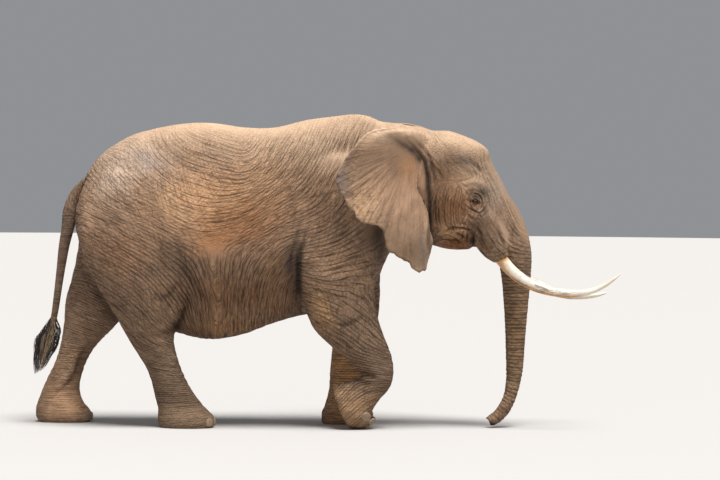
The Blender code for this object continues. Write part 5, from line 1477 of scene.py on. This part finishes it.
def tusk(side):
    """(mesh, stain, wear, place along and around) of one tusk: the loft of its stations, slightly uneven,
    with its tip rounded off."""
    rings = loft_rings(TUSKS[side], 44, 10)
    middle = rings.mean(axis=1, keepdims=True)
    uneven = 1 + 0.02 * noise(rings.reshape(-1, 3), 0.06, 61).reshape(rings.shape[:2])[..., None]
    rings = middle + (rings - middle) * uneven
    points, faces = capped(rings)
    count, around, _ = rings.shape
    along = np.r_[np.repeat(np.linspace(0, 1, count), around), 0, 1]
    turn = np.r_[np.tile(np.linspace(0, 2 * np.pi, around, endpoint=False), count), 0, 0]
    under = np.r_[((middle - rings)[..., 2] / np.linalg.norm(rings - middle, axis=2)).ravel(), 0, 0]
    # browner near the lip, most on its top and underside, and along the underside
    at_lip = 0.95 * (1 - blend(0.08, 0.22, along)) * (0.50 + 0.50 * np.abs(under))
    below = blend(0.10, 0.75, under) * (0.95 - 0.8 * blend(0.50, 0.72, along))
    worn = blend(0.22, 0.32, along) * (1 - blend(0.55, 0.70, along))
    strip = np.stack([along * TUSK_LENGTH, TUSK_RADIUS * np.cos(turn), TUSK_RADIUS * np.sin(turn)], axis=1)
    return facing_out(mesh_of("tusk", points, faces)), at_lip + below, worn, strip


def squared(value, power):
    """The value's size to a power, with its sign kept: below 1 it squares a round shape off."""
    return np.sign(value) * np.abs(value) ** power


def toenail_shell(foot, around, height):
    """(points, faces, up) of one toenail: a squared-off ellipsoid, flatter below, with its grid's poles on
    the sides, set on the rim of the foot and turned to face out from it."""
    x, y, z, fore, _, side, tilt = foot
    polar = np.linspace(0, np.pi, 20)[1:-1, None]
    turn = np.linspace(0, 2 * np.pi, 28, endpoint=False)[None, :]
    depth = squared(np.sin(polar), 0.7) * squared(np.cos(turn), 0.8)
    wide = squared(np.cos(polar), 0.8) + 0 * turn
    high = squared(np.sin(polar), 0.7) * squared(np.sin(turn), 0.75)
    high = np.where(high < 0, 0.85 * high, high)
    shape = np.stack([depth, wide * (1 - 0.10 * np.maximum(high, 0)), high], axis=2) * NAIL_SIZE
    shape[..., 0] -= 0.20 * NAIL_SIZE[0] * wide**2
    angle = np.radians(around)
    rim = np.array([fore * np.cos(angle), side * np.sin(angle), height]) * NAIL_SINK
    facing = np.arctan2(np.sin(angle) / side, np.cos(angle) / fore)
    outwards = np.array(Matrix.Rotation(facing, 3, "Z"))
    upwards = np.array(Matrix.Rotation(-np.radians(tilt), 3, "Y"))
    points, faces = capped((shape @ outwards.T + rim) @ upwards.T + np.array([x, y, z]))
    return points, faces, np.r_[high.ravel(), 0, 0]


def strands(paths, radius, sides):
    """(points, faces, share of the length, strand number) of hairs: each path is a row of places; a ring of
    that many sides is carried along it and tapers to the tip."""
    count, steps, _ = paths.shape
    along = np.gradient(paths, axis=1)
    along /= np.linalg.norm(along, axis=2, keepdims=True)
    first = np.cross(along, np.array([0.31, 0.83, 0.46]))
    first /= np.linalg.norm(first, axis=2, keepdims=True)
    second = np.cross(along, first)
    turn = np.linspace(0, 2 * np.pi, sides, endpoint=False)
    share = np.linspace(0, 1, steps)
    thick = radius[:, None] * (1 - 0.85 * share[None, :] ** 1.5)
    ring = np.cos(turn)[:, None] * first[:, :, None] + np.sin(turn)[:, None] * second[:, :, None]
    rings = paths[:, :, None] + ring * thick[:, :, None, None]
    tube = tube_faces(steps, sides)
    ends = np.stack([np.arange(sides)[::-1], (steps - 1) * sides + np.arange(sides)])
    offset = (np.arange(count) * steps * sides)[:, None, None]
    faces = [(tube[None] + offset).reshape(-1, 4), (ends[None] + offset).reshape(-1, sides)]
    share = np.tile(np.repeat(share, sides), count)
    number = np.repeat(np.arange(count), steps * sides)
    return rings.reshape(-1, 3), faces, share, number


def bake_patches(mesh, root, share, number):
    """UV map OFBake: every strand is a small patch at its root's place on an unwrap."""
    across = (np.arange(len(share)) % 5) / 5
    uv = root[number] + STRAND_PATCH * np.stack([across, share], axis=1)
    corner = values_of(mesh.loops, "vertex_index", kind=np.int32)
    mesh.uv_layers.new(name="OFBake").uv.foreach_set("vector", uv[corner].astype(np.float32).ravel())


def tail_hair_paths(count, steps, seed):
    """(paths, thickness, shade, root place) of the tail's hairs: each keeps its own share of the way out from
    the middle line while it runs down the tuft, so that all together fill its outline, and waves a little."""
    random = np.random.default_rng(seed)
    rows = smooth_rows([TAIL[-2], *TUFT[1:]], 12)
    turn = np.where(random.random(count) < 0.5, 0, np.pi) + random.normal(0, 0.75, count)
    out = random.random(count) ** 0.85
    start = random.uniform(0.02, 0.26, count)
    finish = np.minimum(start + random.uniform(0.45, 0.95, count), random.uniform(0.78, 1.0, count))
    share = np.linspace(0, 1, steps)[None, :]
    at = start[:, None] + (finish - start)[:, None] * share
    row = at * (len(rows) - 1)
    x, y, z, fore, back, side, tilt = (np.interp(row, np.arange(len(rows)), rows[:, k]) for k in range(7))
    wave = 0.30 * np.sin(share * random.uniform(3, 8, count)[:, None] + random.uniform(0, 6, count)[:, None])
    swirl = turn[:, None] + wave * share
    reach = out[:, None] * (0.35 + 0.65 * blend(0, 0.22, share)) * (1 + 0.20 * wave)
    ahead, aside = np.cos(swirl) * reach, np.sin(swirl) * reach
    wide = np.where(ahead > 0, fore, back) * ahead
    lean = np.radians(tilt)
    paths = np.stack([x + wide * np.cos(lean), y + side * aside, z + wide * np.sin(lean)], axis=2)
    thickness = random.uniform(0.0011, 0.0021, count)
    # pale strands where the tuft faces sideways: dust, and partly painted highlight
    shade = np.clip(random.random(count) * (1.65 - 1.7 * np.abs(ahead.mean(axis=1))), 0, 1)
    root = np.stack([0.02 + 0.95 * (turn % (2 * np.pi)) / (2 * np.pi), 0.02 + 0.9 * start / 0.26], axis=1)
    return paths, thickness, shade, root


def lash_paths(side, count, steps):
    """(paths, thickness, root place) of the upper lashes: rooted along the upper lid's rim, they run out,
    forwards and down in an arc."""
    middle, forward, up, out = eye_axes(side)
    random = np.random.default_rng(7 + side)
    share = np.linspace(-0.86, 0.92, count)
    a = SLIT_HALF * share + random.normal(0, 0.0004, count)
    b = UPPER_LID * (1 - (a / SLIT_HALF) ** 2) + 0.0012
    h = np.sqrt((BALL + LID) ** 2 - a**2 - b**2) - 0.002
    root = middle + a[:, None] * forward + b[:, None] * up + h[:, None] * out
    length = 0.034 * (0.75 + 0.25 * np.sin(np.pi * (share + 1) / 2)) * random.uniform(0.8, 1.1, count)
    t = np.linspace(0, 1, steps)[None, :, None]
    sweep = (0.35 + 0.5 * share)[:, None, None] * forward
    paths = root[:, None] + length[:, None, None] * (
        t * (out * 0.80 + sweep) - 0.55 * t**2 * up + 0.28 * t**3 * up)
    return paths, np.full(count, 0.0006), np.stack([0.02 + 0.9 * (share + 1) / 2, 0 * share + 0.9], axis=1)


def place_hairs(name, paths, thickness, sides, shade, root, material, nodes):
    """Places one piece of hairs along the paths, each with its own shade and its own patch of the UV map."""
    points, faces, share, number = strands(paths, thickness, sides)
    mesh = mesh_of(name, points, faces)
    write_attribute(mesh, "shade", "FLOAT", shade[number])
    bake_patches(mesh, root, share, number)
    place_piece(name, mesh, material, nodes)


# ---------------------------------------------------------------- settings
class HideSettings(bpy.types.PropertyGroup):
    """Sizes of the hide."""

    voxel: FloatProperty(
        name="Voxel", description="Mesh size on the body; the head's is finer", default=0.0262, unit="LENGTH")
    soften_rounds: IntProperty(
        name="Softening", description="Smoothing passes where limbs leave the body", default=60, min=0)
    wrinkle_depth: FloatProperty(
        name="Wrinkle depth", description="Depth of the modelled wrinkles", default=0.005, unit="LENGTH")
    stand_out: FloatProperty(
        name="Stand out", description="Most that the hide stands out", default=0.010, unit="LENGTH")
    wrinkle_length: FloatProperty(
        name="Wrinkle length", description="How far a wrinkle runs on", default=0.22, unit="LENGTH")
    # strength of the painted shade in the wrinkles' valleys
    crease_shade: FloatProperty(
        name="Crease darkness", description="How dark the creases are", default=0.88, min=0, max=1)
    crackle_size: FloatProperty(
        name="Crackle size", description="Size of the polygons of dry skin", default=0.028, unit="LENGTH")
    bump_depth: FloatProperty(
        name="Bump depth", description="Depth of the wrinkles drawn by shading", default=0.020, unit="LENGTH")


class HairSettings(bpy.types.PropertyGroup):
    """Numbers of hairs."""

    tail_hairs: IntProperty(name="Tail hairs", description="Hairs in the tail's tuft", default=420, min=1)
    lashes: IntProperty(name="Lashes", description="Lashes on each upper lid", default=24, min=1)
    seed: IntProperty(name="Seed", description="Starts the hairs' random places", default=3)


class StageSettings(bpy.types.PropertyGroup):
    """The studio."""

    floor_colour: FloatVectorProperty(
        name="Floor", description="Colour of the floor", subtype="COLOR", size=3, default=(0.46, 0.44, 0.42))
    key_power: FloatProperty(name="Key light", description="Strength of the light overhead", default=5.8)
    fill_power: FloatProperty(
        name="Fill light", description="Power of the light in front", default=260, unit="POWER")
    sky_strength: FloatProperty(name="Surround", description="Brightness of the surround", default=0.30)


# ---------------------------------------------------------------- the studio
FLOOR_RADIUS, FLOOR_CORNERS = 60, 96
MIDDLE = (0, 0, 1.2)  # where the lights point
KEY_PLACE = (2.0, -3.0, 12.0)
FILL_PLACE = (-3.0, -15.0, 3.5)
KEY_SOFTNESS = 30  # degrees that the key light spans
FILL_SIZE = 9
SKY_COLOUR = (0.92, 0.95, 1.0, 1)
CAMERA_PLACE = (0.268, -26.0, 2.2)
CAMERA_LENS, CAMERA_SENSOR = 162.5, 36  # millimetres
CAMERA_DOWN, CAMERA_ROLL = 1.56, 0.46  # degrees below level, and turned about the line of sight
CAMERA_FAR = 200


def aimed(spot):
    """The place and turn of a light at the spot that points to the figure's middle."""
    turn = (Vector(MIDDLE) - Vector(spot)).to_track_quat("-Z", "Y")
    return Matrix.Translation(spot) @ turn.to_matrix().to_4x4()


# ---------------------------------------------------------------- operators
class ELEPHANT_OT_hide(bpy.types.Operator):
    """One skin over all the solids of flesh"""

    bl_idname = "elephant.hide"
    bl_label = "Hide"

    def execute(self, context):
        sizes = context.scene.elephant_hide
        mesh, part = hide_surface(sizes.voxel, sizes.soften_rounds)
        for side in (-1, 1):
            for reach in EYE_FINE:
                finer(mesh, eye_axes(side)[0], reach)
            finer(mesh, np.array(MOUTH) * (1, side, 1), MOUTH_FINE)
        part = np.r_[part, np.full(len(mesh.vertices) - len(part), BODY)]
        cavity, depth, line, cross = work_hide(mesh, part, sizes)
        marks, on_ear = hide_marks(mesh, part, depth, cavity)
        colour = tones(places(mesh), normals(mesh), on_ear)
        write_attribute(mesh, "tone", "FLOAT_COLOR", np.column_stack([colour, np.ones(len(colour))]))
        write_attribute(mesh, "run", "FLOAT_VECTOR", np.column_stack([line, cross, 0 * line]))
        write_attribute(mesh, "marks", "FLOAT_COLOR", marks)
        place_piece("hide", mesh, hide_material(sizes), FLESH)
        return {"FINISHED"}


class ELEPHANT_OT_eyes(bpy.types.Operator):
    """The two eyeballs behind the lids"""

    bl_idname = "elephant.eyes"
    bl_label = "Eyes"

    def execute(self, context):
        material = eye_material()
        for side, name in SIDES:
            mesh, angle, ray = eyeball(side)
            write_attribute(mesh, "gaze", "FLOAT", angle)
            write_attribute(mesh, "spoke", "FLOAT_VECTOR", ray)
            place_piece(f"{name}_eyeball", mesh, material, [f"eye_{name}"])
        return {"FINISHED"}


class ELEPHANT_OT_tusks(bpy.types.Operator):
    """The two tusks"""

    bl_idname = "elephant.tusks"
    bl_label = "Tusks"

    def execute(self, context):
        material = ivory_material()
        for side, name in SIDES:
            mesh, browning, worn, strip = tusk(side)
            write_attribute(mesh, "browning", "FLOAT", browning)
            write_attribute(mesh, "worn", "FLOAT", worn)
            write_attribute(mesh, "along", "FLOAT_VECTOR", strip)
            place_piece(f"{name}_tusk", mesh, material, [f"tusk_{name}"])
        return {"FINISHED"}


class ELEPHANT_OT_toenails(bpy.types.Operator):
    """The toenails of each foot"""

    bl_idname = "elephant.toenails"
    bl_label = "Toenails"

    def execute(self, context):
        material = nail_material()
        for foot, (station, turns, height) in TOES.items():
            shells = [toenail_shell(station, around, height) for around in turns]
            points, faces = joined([shell[:2] for shell in shells])
            mesh = facing_out(mesh_of("toenails", points, faces))
            write_attribute(mesh, "up", "FLOAT", np.concatenate([shell[2] for shell in shells]))
            nodes = [f"toenail_{foot}_{number}" for number in range(1, len(turns) + 1)]
            place_piece(f"{foot}_toenails", mesh, material, nodes)
        return {"FINISHED"}


class ELEPHANT_OT_hair(bpy.types.Operator):
    """The tail's tuft and the eyelashes"""

    bl_idname = "elephant.hair"
    bl_label = "Hair"

    def execute(self, context):
        sizes = context.scene.elephant_hair
        material = hair_material()
        paths, thickness, shade, root = tail_hair_paths(sizes.tail_hairs, HAIR_STEPS, sizes.seed)
        place_hairs("tail_hair", paths, thickness, HAIR_SIDES, shade, root, material, ["tail_tuft"])
        for side, name in SIDES:
            paths, thickness, root = lash_paths(side, sizes.lashes, LASH_STEPS)
            place_hairs(f"{name}_lashes", paths, thickness, LASH_SIDES, 0 * thickness, root, material, [])
        return {"FINISHED"}


class ELEPHANT_OT_stage(bpy.types.Operator):
    """Floor, soft lights, surround and camera"""

    bl_idname = "elephant.stage"
    bl_label = "Stage"

    def execute(self, context):
        scene, settings = context.scene, context.scene.elephant_stage
        scene.view_settings.view_transform = "Standard"
        turn = np.linspace(0, 2 * np.pi, FLOOR_CORNERS, endpoint=False)
        disc = np.stack([np.cos(turn), np.sin(turn), 0 * turn], axis=1) * FLOOR_RADIUS
        mesh = mesh_of("floor", disc, [np.arange(FLOOR_CORNERS)[None, :]])
        colour = (*settings.floor_colour, 1)
        mesh.materials.append(new_material("floor", {"Base Color": colour, "Roughness": 0.9})[0])
        floor = linked("floor", mesh)
        key = bpy.data.lights.new("key light", "SUN")
        key.energy, key.angle = settings.key_power, np.radians(KEY_SOFTNESS)
        linked("key light", key, aimed(KEY_PLACE))
        fill = bpy.data.lights.new("fill light", "AREA")
        fill.energy, fill.size = settings.fill_power, FILL_SIZE
        linked("fill light", fill, aimed(FILL_PLACE))
        world = bpy.data.worlds.new("studio")
        world.use_nodes = True
        sky = world.node_tree.nodes["Background"].inputs
        sky["Color"].default_value, sky["Strength"].default_value = SKY_COLOUR, settings.sky_strength
        scene.world = world
        camera = bpy.data.cameras.new("camera")
        camera.lens, camera.sensor_width, camera.clip_end = CAMERA_LENS, CAMERA_SENSOR, CAMERA_FAR
        down = Matrix.Rotation(np.radians(90 - CAMERA_DOWN), 4, "X")
        roll = Matrix.Rotation(np.radians(CAMERA_ROLL), 4, "Z")
        scene.camera = linked("camera", camera, Matrix.Translation(CAMERA_PLACE) @ down @ roll)
        return {"FINISHED"}


# ---------------------------------------------------------------- panel and registration
class ELEPHANT_PT_panel(bpy.types.Panel):
    """Lists the pieces and their sizes"""

    bl_label = "Elephant"
    bl_idname = "ELEPHANT_PT_panel"
    bl_space_type = "VIEW_3D"
    bl_region_type = "UI"
    bl_category = "Elephant"

    def draw(self, context):
        for group_name, operators in PANEL_ROWS:
            box = self.layout.box()
            settings = getattr(context.scene, group_name)
            for name in settings.__annotations__:
                box.prop(settings, name)
            for operator in operators:
                box.operator(operator.bl_idname)


PANEL_ROWS = [
    ("elephant_hide", [ELEPHANT_OT_hide, ELEPHANT_OT_eyes, ELEPHANT_OT_tusks, ELEPHANT_OT_toenails]),
    ("elephant_hair", [ELEPHANT_OT_hair]),
    ("elephant_stage", [ELEPHANT_OT_stage]),
]
SETTINGS = {"elephant_hide": HideSettings, "elephant_hair": HairSettings, "elephant_stage": StageSettings}
OPERATORS = [operator for _, operators in PANEL_ROWS for operator in operators]
CLASSES = [*SETTINGS.values(), *OPERATORS, ELEPHANT_PT_panel]


def register():
    for kind in CLASSES:
        bpy.utils.register_class(kind)
    for name, kind in SETTINGS.items():
        setattr(bpy.types.Scene, name, PointerProperty(type=kind))


def unregister():
    for name in SETTINGS:
        delattr(bpy.types.Scene, name)
    for kind in reversed(CLASSES):
        bpy.utils.unregister_class(kind)


def main():
    register()
    bpy.ops.elephant.stage()
    bpy.ops.elephant.hide()
    bpy.ops.elephant.eyes()
    bpy.ops.elephant.tusks()
    bpy.ops.elephant.toenails()
    bpy.ops.elephant.hair()


if __name__ == "__main__":
    main()
